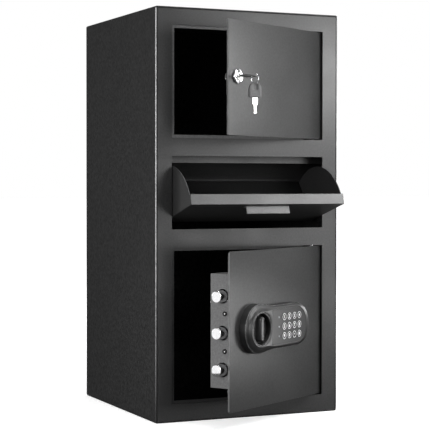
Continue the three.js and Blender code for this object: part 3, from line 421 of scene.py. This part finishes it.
def dress(node, body, material, edge, segments=2, others=(), chooses=None, clamp=True):
    """Replaces a CAD node with the same shape with eased edges and shading that follows them.

    chooses gets a face's middle in millimetres in the frame's coordinates, and says which of the
    other materials it has, from 1. clamp keeps the easing from running over itself.
    """
    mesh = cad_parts[node].data.copy()
    mesh.name = node + "_finished"
    mesh.materials.clear()
    bm = bmesh.new()
    bm.from_mesh(mesh)
    bmesh.ops.remove_doubles(bm, verts=bm.verts, dist=MERGE)
    bmesh.ops.dissolve_limit(
        bm, angle_limit=math.radians(FLAT_ANGLE), verts=bm.verts, edges=bm.edges)
    bm.to_mesh(mesh)
    bm.free()
    mesh.materials.append(material)
    shade(mesh, DRESSED_CREASE)
    piece = bpy.data.objects.new(node + "_finished", mesh)
    bpy.context.scene.collection.objects.link(piece)
    bevel = piece.modifiers.new("edges", "BEVEL")
    bevel.width = edge / MM
    bevel.segments = segments
    bevel.limit_method = "ANGLE"
    bevel.angle_limit = math.radians(EASE_ANGLE)
    bevel.use_clamp_overlap = clamp
    weighted = piece.modifiers.new("normals", "WEIGHTED_NORMAL")
    weighted.keep_sharp = True
    apply_modifiers(piece)
    for other in others:
        piece.data.materials.append(other)
    if others:
        for polygon in piece.data.polygons:
            polygon.material_index = int(chooses(polygon.center * MM))
    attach(piece, body)
    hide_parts(node)


def turned(profile, x, z, sides):
    """A profile of (radius, y) pairs turned about the line along Y through x, z."""
    form = Form()
    form.loft(*[
        upright(circle(x, z, radius, sides), y) if radius else [(x, y, z)]
        for radius, y in profile])
    return form


def tube(path, radius, sides):
    """A round tube along an open path of points."""
    points = [Vector(point) for point in path]
    last = len(points) - 1
    normal = (points[1] - points[0]).orthogonal()
    loops = []
    for index, point in enumerate(points):
        ahead = (points[min(index + 1, last)] - points[max(index - 1, 0)]).normalized()
        normal = (normal - ahead * normal.dot(ahead)).normalized()
        across = ahead.cross(normal)
        loops.append([point + normal * u + across * v for u, v in circle(0, 0, radius, sides)])
    form = Form()
    form.solid(*loops)
    return form


# Cabinet and hopper keep their CAD shapes, with eased edges

# The rims at the shell's front corners and the upper stop frame's front lip: painted light and
# shade
RIM_DEPTH, RIM_WIDTH, RIM_MIDDLE, RIM_ENDS = 1.6, 3.1, 1.65, 4.0
LIP_DEPTH = 3.6


def front_corner(point):
    """Which half of the rim a face is on: 1 for the outer, 2 for the inner, 0 for neither."""
    inward = WIDTH / 2 - abs(point.x)
    along = RIM_ENDS < point.z < HEIGHT - RIM_ENDS
    if point.y > -DEPTH / 2 + RIM_DEPTH or inward > RIM_WIDTH or not along:
        return 0
    return 1 if inward < RIM_MIDDLE else 2


def front_lip(point):
    return point.y < -DEPTH / 2 + LIP_DEPTH


# The shell's front corners: painted highlight on the outer half, painted seam shade on the inner
# half
dress("cabinet_shell", "cabinet", case_coat, edge=1.4, segments=4, others=(corner_highlight, seam_shade),
      chooses=front_corner, clamp=False)
for node in ("back_panel", "compartment_shelf"):
    dress(node, "cabinet", case_coat, edge=0.5)
dress("front_frame", "cabinet", front_coat, edge=0.8, segments=3)
dress("upper_stop_frame", "cabinet", front_coat, edge=0.35, others=(lip_highlight_coat,), chooses=front_lip)
for node in ("lower_stop_frame", "hopper_header", "hopper_bracket_left", "hopper_bracket_right"):
    dress(node, "cabinet", front_coat, edge=0.35)
dress("anti_fishing_hood", "cabinet", front_coat, edge=0.2)
for node in ("hopper_flap", "hopper_cheek_left", "hopper_cheek_right"):
    dress(node, "hopper", hopper_coat, edge=0.5)
dress("hopper_bucket", "hopper", bucket_coat, edge=0.5)
dress("hopper_pull", "hopper", pull_coat, edge=0.5, segments=3)
for node in ("hopper_pin_left", "hopper_pin_right"):
    dress(node, "hopper", zinc, edge=0.4)

# Section of the weld bead: distance in from the shell, distance in front of the back panel
BEAD = ((0.05, 1.5), (0.6, 0.8), (1.5, 0.05), (0.05, 0.05))
BEAD_CORNER = 0.5


def back_weld():
    """The bead that closes the seam between the back panel and the shell, inside."""
    form = Form()
    rings = form.loft(*[
        upright(rounded(SHEET + inset, SHEET + inset, WIDTH - SHEET - inset,
                        HEIGHT - SHEET - inset, BEAD_CORNER), DEPTH - SHEET - ahead)
        for inset, ahead in BEAD])
    form.bridge(rings[-1], rings[0])
    return form


place("back_weld", back_weld(), CABINET, "cabinet", case_coat)

# Doors and their hinge bars, whose upper pins are bright

# Distances from the line of the pins: just short of a door's free edge, and just past a pin
FREE_EDGE, PIN_REACH = 270.6, 4.2


def from_pins(point):
    """Distance of a point from the line of the door pins."""
    return math.hypot(point.x + WIDTH / 2 - HINGE_LINE[0], point.y + DEPTH / 2 - HINGE_LINE[1])


def free_edge(point):
    return from_pins(point) > FREE_EDGE


def upper_pin(bar):
    """Chooses the faces of a bar's upper pin, which is bare steel. The lower one is painted."""
    low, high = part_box(bar)
    middle = (low[2] + high[2]) / 2 * MM

    def chosen(point):
        return from_pins(point) < PIN_REACH and point.z > middle

    return chosen


for door in ("upper_door", "lower_door"):
    panel = door + "_panel"
    bar = door.replace("door", "hinge_bar")
    # The door's free edge gets the painted highlight
    dress(panel, door, door_coat, edge=0.7, segments=3, others=(door_edge_highlight,), chooses=free_edge)
    dress(bar, door, door_coat, edge=0.3, others=(polished,), chooses=upper_pin(bar))

# Cam lock on the upper door

# Steps of the lock's head and body: radius, Y
LOCK_HEAD = (
    (6.3, -3.6), (7.2, -4.3), (10.2, -4.3), (11.3, -4.0), (12.0, -3.1), (12.0, -0.3), (9.3, -0.3),
    (9.3, 0.2), (9.0, 0.5), (9.3, 0.8), (9.3, 12.6), (9.0, 13.0), (6.3, 13.0), (6.3, -3.6))
place("lock_head", turned(LOCK_HEAD, *LOCK, sides=64), UPPER, "upper_door", polished,
      hides=("lock_cylinder",))
dress("lock_nut", "upper_door", dull_steel, edge=0.5)
dress("lock_plug", "cam_lock", key_metal, edge=0.2)
dress("lock_cam", "cam_lock", dull_steel, edge=0.4)

# Keys are drawn upright from the top of the bow, at 0, down to the blade's tip
BOW_HALF, BOW_LENGTH, BOW_THICK, BOW_CORNER = 11.5, 25.0, 3.6, 1.2
BOW_RIM = 3.5
# Openings and sunk grips on the bow's middle line: half width, bottom, top, corner radius
BOW_SLOT = (3.5, -12.5, -BOW_RIM, 2.6)
BOW_GRIP = (7.4, -22.8, -14.4, 2.5)
GRIP_DEPTH, GRIP_TAPER = 0.4, 0.35
# Steps round an eased edge: distance in from the edge, depth below the face
RIM_STEPS = ((0.8, 0.0), (0.3, 0.15), (0.05, 0.5))
SLOT_STEPS = ((0.5, 0.0), (0.15, 0.2), (0.0, 0.6))


def bow_loop(inset, y):
    """The bow's outline: a round top and a straight foot with small corners."""
    half = BOW_HALF - inset
    foot = -BOW_LENGTH + inset
    points = (arc(half - BOW_CORNER, foot + BOW_CORNER, BOW_CORNER, -90, 0, 5)
              + arc(0, -BOW_HALF, half, 0, 180, 36)
              + arc(-half + BOW_CORNER, foot + BOW_CORNER, BOW_CORNER, 180, 270, 5))
    return upright(points, y)


def opening(half, bottom, top, corner, grow, y):
    """A rounded opening on the bow's middle line, grown by some millimetres."""
    return upright(
        rounded(-half - grow, bottom - grow, half + grow, top + grow, corner + grow), y)


def key_bow():
    """The moulded cover of a key: round top, eased rim, a slot and a sunk grip on each face."""
    form = Form()
    half = BOW_THICK / 2
    near = [(inset, depth - half) for inset, depth in RIM_STEPS]
    far = [(inset, half - depth) for inset, depth in reversed(RIM_STEPS)]
    rim = form.loft(*[bow_loop(*step) for step in near + [(0, 0)] + far])
    near = [(grow, depth - half) for grow, depth in SLOT_STEPS]
    far = [(grow, half - depth) for grow, depth in reversed(SLOT_STEPS)]
    slot = form.loft(*[opening(*BOW_SLOT, *step) for step in near + far])
    for side, rim_ring, slot_ring in ((-1, rim[0], slot[0]), (1, rim[-1], slot[-1])):
        grip = form.loft(opening(*BOW_GRIP, 0, side * half),
                         opening(*BOW_GRIP, -GRIP_TAPER, side * (half - GRIP_DEPTH)))
        form.fill(rim_ring, slot_ring, grip[0])
        form.fill(grip[1])
    return form


# A blade's gap under its bow, half width there, half thickness, eased edge, and its sections
BLADE_GAP, BLADE_HALF, BLADE_THIN, BLADE_EDGE, BLADE_SECTIONS = 0.3, 4.5, 0.9, 0.15, 40
# The blade narrows at a share of its length, over SHOULDER_RUN, and again towards its tip
SHOULDER_AT, SHOULDER_RUN = 0.4, 2
TIP_HALF, TIP_SLOPE = 0.7, 1.1
# The cuts start below the shoulder and stop short of the tip
CUTS_BELOW, CUTS_SHORT, CUT_DEPTH, CUT_WAVE = 2.2, 2, 0.28, 2.1
# The groove on the near face: the places of its edges and floor along X, and its depth
GROOVE = (-0.9, -0.75, 0.35, 0.5)
GROOVE_DEPTH = 0.4
# Near the tip, points up to EDGE_HALF from the middle line that would come within EDGE_SLACK of
# the blade's edge are held EDGE_MARGIN inside it
EDGE_HALF, EDGE_SLACK, EDGE_MARGIN = 1, 0.1, 0.16


def blade_reach(along, length, narrow, bitted):
    """Half the blade's width at a distance from its bow."""
    shoulder = length * SHOULDER_AT
    reach = BLADE_HALF
    if along >= shoulder:
        left = max(0, 1 - (along - shoulder) / SHOULDER_RUN)
        reach = narrow + (BLADE_HALF - narrow) * left
    if bitted and shoulder + CUTS_BELOW < along < length - CUTS_SHORT:
        reach -= CUT_DEPTH * (1 + math.sin(along * CUT_WAVE))
    return min(reach, TIP_HALF + (length - along) * TIP_SLOPE)


def blade_section(reach):
    """A flat section with eased edges and a groove on each face, the same when turned over."""
    face = -BLADE_THIN
    depths = (BLADE_EDGE, 0, 0, GROOVE_DEPTH, GROOVE_DEPTH, 0, 0, BLADE_EDGE)
    widths = (-reach, -reach + BLADE_EDGE, *GROOVE, reach - BLADE_EDGE, reach)
    half_way = [(x, face + depth) for x, depth in zip(widths, depths)]
    section = half_way + [(-x, -y) for x, y in half_way]
    limit = reach - EDGE_MARGIN
    near = min(limit + EDGE_SLACK, EDGE_HALF)
    return [(max(-limit, min(limit, x)) if abs(x) < near else x, y) for x, y in section]


def key_blade(length, tip_width, bitted):
    """A flat blade with a groove on each face and, if bitted, cuts along both edges."""
    form = Form()
    loops = []
    for step in range(BLADE_SECTIONS + 1):
        along = length * step / BLADE_SECTIONS
        reach = blade_reach(along, length, tip_width / 2, bitted)
        z = -BOW_LENGTH - BLADE_GAP - along
        loops.append([(x, y, z) for x, y in blade_section(reach)])
    form.solid(*loops)
    return form


# The ring passes round the rim of the inserted key's bow, and the spare key hangs in the ring
RING_RADIUS, RING_WIRE, RING_GAP, RING_TURN = 9.2, 0.75, 0.4, -16.0
RING_CENTRE = LOCK[1] + BOW_THICK / 2 + RING_GAP + RING_WIRE - RING_RADIUS
RIM_Y = KEY_TIP + BOW_RIM / 2
SPARE_LIFT, SPARE_TURN = 1.4, -27.0
# The ring's two turns: distance to each side, wire radius, share of a full circle, and the place
# and length of the crossing, in turns
TURN_SIDE, TURN_WIRE, TURN_SHARE, CROSS_AT, CROSS_RUN = 0.37, 0.36, 0.985, 0.8, 0.4
TURN_STEPS = 144


def hung(z, degrees):
    """A matrix for what hangs from the inserted key, turned about the upright line."""
    return (UPPER @ Matrix.Translation((LOCK[0], RIM_Y, z))
            @ Matrix.Rotation(math.radians(degrees), 4, "Z"))


def split_ring():
    """Two turns of wire side by side, which change over half-way."""
    path = []
    for step in range(TURN_STEPS + 1):
        turn = step / TURN_STEPS * 2
        angle = math.radians(90) + turn * 2 * math.pi * TURN_SHARE
        over = min(1.0, max(0.0, (turn - CROSS_AT) / CROSS_RUN))
        path.append((TURN_SIDE * (2 * over - 1),
                     RING_RADIUS * math.cos(angle), RING_RADIUS * math.sin(angle)))
    return tube(path, TURN_WIRE, sides=10)


INSERTED = UPPER @ Matrix.Translation((LOCK[0], KEY_TIP, LOCK[1])) @ FACING
SPARE = hung(RING_CENTRE - RING_RADIUS + SPARE_LIFT + BOW_RIM, SPARE_TURN)
place("key_in_lock_bow", key_bow(), INSERTED, "cam_lock", bow_grey, hides=("inserted_key_bow",))
place("key_in_lock_blade", key_blade(length=12.7, tip_width=9.0, bitted=False), INSERTED,
      "cam_lock", key_metal, hides=("inserted_key_blade",))
place("spare_bow", key_bow(), SPARE, "spare_key", bow_grey, hides=("spare_key_bow",))
place("spare_blade", key_blade(length=26.0, tip_width=5.0, bitted=True), SPARE,
      "spare_key", key_metal, hides=("spare_key_blade",))
place("split_ring", split_ring(), hung(RING_CENTRE, RING_TURN), "key_ring", polished,
      hides=("key_ring",))

# Electronic lock: housing lofted from its outline, with a knob recess and a keypad face

# The round knob end is left at NECK_LEAVE degrees, by a curve whose pulls are NECK_PULL long
NECK_LEAVE, NECK_PULL, NECK_LENGTH = 85, 18.0, 46.0
# The panel's flat front: half height and right end
FLAT_HALF = PANEL_HALF - 4.25
FLAT_END = PANEL_END - 11.5
RECESS_RADIUS = 25.5
# The keypad: distance below the flat front's top, distance from the knob's recess, left corners
KEYPAD_TOP, KEYPAD_SIDE, KEYPAD_CORNER = 2.2, 5.5, 4


def panel_loop(ring, half, end_inset, y):
    """The outline of the lock panel: a round knob end that narrows to a round-ended keypad."""
    leave = math.radians(NECK_LEAVE)
    neck = (ring * math.cos(leave), ring * math.sin(leave))
    eased = (neck[0] + NECK_PULL * math.sin(leave), neck[1] - NECK_PULL * math.cos(leave))
    far = neck[0] + NECK_LENGTH
    end = PANEL_END - end_inset - half - KNOB[0]
    upper = bezier((far, half), (far - NECK_PULL, half), eased, neck, 20)
    points = arc(end, 0, half, -90, 90, 48)
    points += line((end, half), (far, half), 12)[1:]
    points += upper[1:]
    points += arc(0, 0, ring, NECK_LEAVE, 360 - NECK_LEAVE, 80)[1:]
    points += [(u, -v) for u, v in reversed(upper)][1:]
    points += line((far, -half), (end, -half), 12)[1:-1]
    return upright([(KNOB[0] + u, KNOB[1] + v) for u, v in points], y)


def keypad_loop(inset, y):
    """The outline of the keypad, inside the panel's flat front: its right end is round."""
    half = FLAT_HALF - KEYPAD_TOP - inset
    left = KNOB[0] + RECESS_RADIUS + KEYPAD_SIDE + inset + KEYPAD_CORNER
    up = half - KEYPAD_CORNER
    points = arc(FLAT_END - FLAT_HALF, KNOB[1], half, -90, 90, 40)
    points += arc(left, KNOB[1] + up, KEYPAD_CORNER, 90, 180, 8)
    points += arc(left, KNOB[1] - up, KEYPAD_CORNER, 180, 270, 8)
    return upright(points, y)


# Steps of the panel's outside: radius of the knob end, half height, inset of the right end, Y
OUTSIDE = (
    (41.0, PANEL_HALF, 0.0, -0.3), (41.0, PANEL_HALF, 0.0, -11.2), (40.9, 36.15, 0.1, -11.6),
    (40.6, 35.85, 0.4, -11.9), (40.2, 35.45, 0.8, -12.0), (38.9, 35.2, 1.0, -12.35),
    (36.9, 34.9, 1.3, -14.1), (35.2, 34.6, 1.7, -15.3), (34.0, 34.3, 3.0, -15.9),
    (31.0, 32.6, 9.5, -17.0), (30.5, 32.3, 10.6, -17.25), (29.9, 31.9, 11.6, -17.45),
    (29.5, 31.6, 12.1, FRONT), (29.2, 31.3, 12.5, FRONT))
# Steps of the knob's recess, from the groove round it: radius, depth behind the panel's front
RECESS = (
    (28.5, 0.0), (28.3, 0.15), (28.0, 0.55), (27.7, 0.55), (27.4, 0.15), (27.2, 0.0), (26.5, 0.0),
    (26.1, 0.12), (25.7, 0.4), (RECESS_RADIUS, 0.9), (RECESS_RADIUS, 11.0), (5.4, 11.0),
    (5.4, 17.2))
# Steps of the keypad's well and of its face: inset, depth behind the panel's front
WELL = ((-0.3, 0.0), (-0.05, 0.0), (0.05, 0.1), (0.05, 7.0))
FACE = ((0.3, 2.0), (0.3, 0.1), (0.4, 0.0))
# Steps of a hole in the face: growth of its radius, depth
HOLE = ((0.15, 0.0), (0.0, 0.15), (0.0, 2.0))

housing = Form()
outside = housing.loft(*[panel_loop(*step) for step in OUTSIDE])
recess = housing.loft(*[
    upright(circle(*KNOB, radius, 72), FRONT + depth) for radius, depth in RECESS])
well = housing.loft(*[keypad_loop(inset, FRONT + depth) for inset, depth in WELL])
housing.fill(outside[-1], recess[0], well[0])
housing.fill(well[-1])
housing.fill(outside[0], recess[-1])
# The panel's outer edge and the groove round the knob get a lighter plastic: painted highlights
for rings in (outside[1:5], recess[:6]):
    corners = {vertex for ring in rings for vertex in ring}
    for polygon in housing.bm.faces:
        if all(vertex in corners for vertex in polygon.verts):
            polygon.material_index = 1
place("lock_housing_finished", housing, LOWER, "lower_door", lock_black, lock_highlight,
      hides=("lock_housing",), crease=38)

COLUMNS = [LAST_COLUMN - (3 - column) * COLUMN_PITCH for column in range(4)]
ROWS = [KNOB[1] + (1 - row) * ROW_PITCH for row in range(3)]
LAMP_X = COLUMNS[0] - 14.4
LAMP_HOLE, KEY_HOLE = 2.0, 6.2

face = Form()
rim = face.loft(*[keypad_loop(inset, FRONT + depth) for inset, depth in FACE])
fronts, backs = [rim[-1]], [rim[0]]
for z in ROWS:
    for x, radius, sides in [(LAMP_X, LAMP_HOLE, 20)] + [(x, KEY_HOLE, 32) for x in COLUMNS]:
        hole = face.loft(*[
            upright(circle(x, z, radius + grow, sides), FRONT + depth) for grow, depth in HOLE])
        fronts.append(hole[0])
        backs.append(hole[-1])
face.fill(*fronts)
face.fill(*backs)
place("keypad_face_finished", face, LOWER, "lower_door", lock_black, hides=("keypad_face",))
dress("indicator_lens", "lower_door", lens_grey, edge=0.15)
dress("circuit_board", "lower_door", board_green, edge=0.1)

# Steps of a key cap, from its dished front to its hidden flange: radius, depth behind the front
CAP = ((0, -0.85), (3.0, -0.87), (4.6, -0.94), (5.2, -1.0), (5.65, -0.9), (5.9, -0.55),
       (5.9, 2.3), (6.9, 2.3), (6.9, 4.0), (0, 4.0))
LEGENDS = "1234567890*#"
LEGEND_Y = FRONT - 0.96
GLYPH_SIZE, GLYPH_WEIGHT, PRINT_HALF = 7.6, 0.28, 0.04
PRINT_OUTER, PRINT_INNER = 5.75, 4.85


def legend(text, x, z):
    """A printed ring with a character in it, less than a tenth of a millimetre thick."""
    curve = bpy.data.curves.new("glyph", "FONT")
    curve.body = text
    curve.size = GLYPH_SIZE
    curve.align_x = "CENTER"
    curve.align_y = "CENTER"
    curve.offset = GLYPH_WEIGHT
    curve.extrude = PRINT_HALF
    curve.resolution_u = 6
    carrier = bpy.data.objects.new("glyph", curve)
    bpy.context.scene.collection.objects.link(carrier)
    graph = bpy.context.evaluated_depsgraph_get()
    mesh = bpy.data.meshes.new_from_object(carrier.evaluated_get(graph))
    bpy.data.objects.remove(carrier)
    bpy.data.curves.remove(curve)
    heights = [vertex.co.y for vertex in mesh.vertices]
    centred = Matrix.Translation((0, -(min(heights) + max(heights)) / 2, 0))
    mesh.transform(Matrix.Translation((x, LEGEND_Y, z)) @ FACING @ centred)
    form = Form()
    form.add(mesh)
    near, far = LEGEND_Y - PRINT_HALF, LEGEND_Y + PRINT_HALF
    form.loft(*[upright(circle(x, z, radius, 40), y) for radius, y in (
        (PRINT_OUTER, near), (PRINT_INNER, near), (PRINT_INNER, far), (PRINT_OUTER, far),
        (PRINT_OUTER, near))])
    return form


spots = [(x, z) for z in ROWS for x in COLUMNS]
for number, (text, (x, z)) in enumerate(zip(LEGENDS, spots), 1):
    key = "key_%02d" % number
    cap = turned([(radius, FRONT + depth) for radius, depth in CAP], x, z, sides=40)
    place(key + "_cap", cap, LOWER, "keypad_" + key, cap_black, hides=(key,))
    place(key + "_legend", legend(text, x, z), LOWER, "keypad_" + key, legend_white)

# Knob: a shallow disc in the recess and an upright grip that narrows to its front

# Steps of the disc: radius, Y; and of the grip: half length, half width, Y
DISC = ((0, -10.3), (14, -10.3), (22.6, -10.2), (23.5, -9.8), (24.0, -9.1), (24.0, -6.8), (0, -6.8))
GRIP = ((21.0, 7.0, -9.5), (21.0, 6.9, -10.7), (20.8, 5.9, -12.6), (20.6, 5.2, -15.0),
        (20.3, 4.8, -17.6), (19.9, 4.3, -18.5), (19.2, 3.5, -18.9), (18.2, 2.6, -19.0))
GRIP_CORNER = 4.4


def grip_loop(length, half, y):
    """An upright bar on the knob's middle, whose round corners stop short of meeting."""
    x, z = KNOB
    corner = min(half - 0.1, GRIP_CORNER)
    return upright(rounded(x - half, z - length, x + half, z + length, corner, 8), y)


knob = turned(DISC, *KNOB, sides=72)
grip = Form()
grip.solid(*[grip_loop(*step) for step in GRIP])
knob.add(grip.mesh("grip"))
place("knob_finished", knob, LOWER, "knob", knob_black, hides=("knob",))
dress("knob_spindle", "knob", zinc, edge=0.3)
dress("bolt_lever", "knob", zinc, edge=0.3)

# Bolt work

BOLT_Y = 30.5
BOLT_HEIGHTS = {"bolt_lower": 98.3, "bolt_middle": 158.7, "bolt_upper": 219.1}
# Steps of a bolt from its eased end: radius, X
BOLT = ((8.8, 37.0), (9.5, 37.25), (10.0, 38.0), (10.0, 79.0))
for node, z in BOLT_HEIGHTS.items():
    bolt = Form()
    bolt.solid(*[sideways(circle(BOLT_Y, z, radius, 72), x) for radius, x in BOLT])
    place(node + "_finished", bolt, LOWER, "bolt_work", polished, hides=(node,))
dress("bolt_carriage", "bolt_work", zinc, edge=0.3)
dress("solenoid_coil", "lower_door", zinc, edge=0.5)
dress("solenoid_plunger", "solenoid_plunger", polished, edge=0.3)

# Lock box, battery tray and reset button

dress("lock_box_cover", "lower_door", box_coat, edge=0.7, segments=3)
dress("battery_tray", "lower_door", lock_black, edge=0.4)
dress("battery_cells", "lower_door", cell_wrap, edge=0.4)
dress("battery_lid", "battery_lid", lock_black, edge=0.5)
dress("reset_button", "reset_button", reset_red, edge=0.4, segments=3)

# Steps of a screw's head and then its socket: radius, rise, how far the socket's lobes stand out
SCREW = (
    (4.2, 0.0, 0), (4.2, 0.7, 0), (3.95, 1.5, 0), (3.4, 2.1, 0), (2.6, 2.45, 0), (2.1, 2.45, 0),
    (1.9, 2.3, 0.07), (1.85, 1.2, 0.07), (1.1, 0.8, 0.07), (0.15, 0.75, 0))
SCREW_X, SCREW_Y, SCREW_HEIGHTS = 55.0, 25.9, (128.7, 190.5)
SCREW_LOBES, SCREW_SIDES = 6, 48
BRIGHT_RADIUS = 1.35


def pan_screw(z):
    """A black pan-head screw with a bright socket, on the lock box's left side."""
    head = Form()
    loops = []
    for radius, rise, depth in SCREW:
        points = []
        for step in range(SCREW_SIDES):
            angle = 2 * math.pi * step / SCREW_SIDES
            reach = radius * (1 + depth * math.cos(SCREW_LOBES * angle))
            points.append((SCREW_Y + reach * math.cos(angle), z + reach * math.sin(angle)))
        loops.append(sideways(points, SCREW_X - rise))
    head.solid(*loops)
    for polygon in head.bm.faces:
        centre = polygon.calc_center_median()
        polygon.material_index = int(math.hypot(centre.y - SCREW_Y, centre.z - z) < BRIGHT_RADIUS)
    return head


for number, z in enumerate(SCREW_HEIGHTS, 1):
    place("box_screw_%d" % number, pan_screw(z), LOWER, "lower_door",
                  screw_black, polished)

TAB_LEFT, TAB_RIGHT = 55.5, 67.5


def bent_tab():
    """A small strip foot under the lock box: it stands out of the door and its end turns up."""
    foot, reach, lift, thick, bend = 60.6, 18.0, 4.6, 1.2, 1.6
    back, end = SHEET, SHEET + reach
    side = [(back, foot), (end - bend, foot)]
    side += arc(end - bend, foot + bend, bend, -90, 0, 6)[1:]
    side += [(end, foot + lift), (end - thick, foot + lift)]
    side += arc(end - bend, foot + bend, bend - thick, 0, -90, 6)
    side += [(back, foot + thick)]
    tab = Form()
    left, right = tab.loft(sideways(side, TAB_LEFT), sideways(side, TAB_RIGHT))
    tab.fill(left)
    tab.fill(right)
    return tab


place("box_foot_tab", bent_tab(), LOWER, "lower_door", box_coat, crease=30)

# Floor, light and camera

ROOM = 0.12  # strength of the dim room
FLOOR_HALF = 30
WHITE = (1, 1, 1, 1)

# The floor is white to the camera and whiter away from the safe, and lights nothing by itself
floor_mesh = bpy.data.meshes.new("floor")
floor_mesh.from_pydata([
    (-FLOOR_HALF, -FLOOR_HALF, 0), (FLOOR_HALF, -FLOOR_HALF, 0),
    (FLOOR_HALF, FLOOR_HALF, 0), (-FLOOR_HALF, FLOOR_HALF, 0)], [], [(0, 1, 2, 3)])
material, tree, shader, coordinates = new_material("floor", 0.7)
tinted(tree, shader, noise(tree, coordinates, size=400.0), dark=(0.86,) * 3, light=(0.88,) * 3)
paths = tree.nodes.new("ShaderNodeLightPath")
straight = math_node(
    tree, "MAXIMUM", paths.outputs["Is Camera Ray"], paths.outputs["Is Glossy Ray"])
straight = math_node(tree, "MAXIMUM", straight, paths.outputs["Is Transmission Ray"])
distance = vector_node(tree, "LENGTH", coordinates)
whiter = mapped(tree, distance, from_low=0.4, from_high=1.6, to_low=0.6)
shader.inputs["Emission Color"].default_value = WHITE
tree.links.new(
    math_node(tree, "MULTIPLY", straight, whiter), shader.inputs["Emission Strength"])
floor_mesh.materials.append(material)
floor = bpy.data.objects.new("floor", floor_mesh)
bpy.context.scene.collection.objects.link(floor)
floor.visible_glossy = False
floor.visible_diffuse = False

# A dim room with a white backdrop behind the safe; the camera sees white all round
BEHIND = (0.412, 0.911, 0.0)
world = bpy.data.worlds.new("studio")
world.use_nodes = True
bpy.context.scene.world = world
tree = world.node_tree
background = tree.nodes["Background"]
background.inputs["Color"].default_value = WHITE
direction = tree.nodes.new("ShaderNodeTexCoord").outputs["Generated"]
towards = vector_node(tree, "DOT_PRODUCT", direction, BEHIND)
backdrop = mapped(tree, towards, from_low=0.93, from_high=0.985, to_low=ROOM)
seen = tree.nodes.new("ShaderNodeLightPath").outputs["Is Camera Ray"]
tree.links.new(math_node(tree, "MAXIMUM", backdrop, seen), background.inputs["Strength"])


def softbox(name, location, target, width, height, radiance):
    """A rectangular area light that looks as bright as the number given and doesn't show itself."""
    light = bpy.data.lights.new(name, "AREA")
    light.shape = "RECTANGLE"
    light.size = width
    light.size_y = height
    light.energy = radiance * math.pi * width * height
    lamp = bpy.data.objects.new(name, light)
    lamp.location = location
    lamp.rotation_euler = (Vector(target) - Vector(location)).to_track_quat("-Z", "Y").to_euler()
    lamp.visible_camera = False
    bpy.context.scene.collection.objects.link(lamp)


AIM = Vector((0.0, -0.1, 0.36))


def around(degrees, rise, distance):
    """A place around the safe: degrees from straight in front towards its right side."""
    turn, lift = math.radians(degrees), math.radians(rise)
    return AIM + distance * Vector((
        math.sin(turn) * math.cos(lift), -math.cos(turn) * math.cos(lift), math.sin(lift)))


# Far lights: degrees round, rise and distance, then width, height and radiance
for name, degrees, rise, distance, width, height, radiance in (
        ("right_strip", 110, 2, 3.2, 0.75, 0.5, 8.5),
        ("right_edge", 98, 2, 3.2, 0.45, 0.5, 5.5),
        ("right_high", 98, 28, 3.2, 1.1, 1.1, 2.1),
        ("left_front", -50, 8, 2.2, 0.6, 0.7, 14.0),
        ("overhead", 0, 88, 3.2, 1.6, 1.6, 8.0),
        ("front_high", 15, 42, 3.2, 1.6, 1.6, 4.6),
        ("front_fill", 24, 2, 3.2, 1.4, 0.9, 2.0),
        ("front_low", 32, -6, 1.6, 0.9, 0.34, 2.8),
        ("rear_left", -124, 6, 3.2, 1.4, 1.2, 2.3)):
    softbox(name, around(degrees, rise, distance), AIM, width, height, radiance)
# Near lights: place and target, then width, height and radiance
for name, location, target, width, height, radiance in (
        ("near_right", (0.50, -0.46, 0.62), (-0.05, -0.38, 0.62), 0.12, 0.24, 12.5),
        ("near_door", (0.50, -0.62, 0.62), (-0.05, -0.50, 0.62), 0.20, 0.14, 4.5),
        ("near_front", (0.42, -0.80, 0.66), (0.06, -0.17, 0.64), 0.34, 0.22, 8.4),
        ("near_rail", (0.24, -0.80, 0.52), (-0.06, -0.17, 0.50), 0.26, 0.16, 0.6),
        ("near_middle", (0.50, -0.61, 0.40), (-0.05, -0.53, 0.40), 0.20, 0.14, 0.2),
        ("near_low", (0.50, -0.42, 0.12), (-0.05, -0.34, 0.12), 0.20, 0.14, 7.5),
        ("left_low", (-0.45, -0.26, 0.147), (-0.14, -0.31, 0.147), 0.38, 0.29, 1.0)):
    softbox(name, location, target, width, height, radiance)

# The camera, solved from the photograph: place in metres, angles in degrees, lens in millimetres
CAMERA_AT = (-1.063919, -2.384462, 0.405657)
AZIMUTH, PITCH, ROLL = 24.354, 1.322, -0.057
LENS, SENSOR = 119.24, 36.0
FAR_CLIP = 50

azimuth, pitch = math.radians(AZIMUTH), math.radians(PITCH)
forward = Vector((
    math.sin(azimuth) * math.cos(pitch), math.cos(azimuth) * math.cos(pitch), -math.sin(pitch)))
right = Vector((math.cos(azimuth), -math.sin(azimuth), 0))
up = right.cross(forward)
turn = Matrix.Rotation(math.radians(ROLL), 3, forward)
axes = Matrix((turn @ right, turn @ up, -forward)).transposed()
camera_data = bpy.data.cameras.new("camera")
camera_data.lens = LENS
camera_data.sensor_width = SENSOR
camera_data.sensor_fit = "HORIZONTAL"
camera_data.clip_end = FAR_CLIP
camera = bpy.data.objects.new("camera", camera_data)
camera.matrix_world = Matrix.Translation(CAMERA_AT) @ axes.to_4x4()
bpy.context.scene.collection.objects.link(camera)
bpy.context.scene.camera = camera
bpy.context.scene.view_settings.view_transform = "Standard"
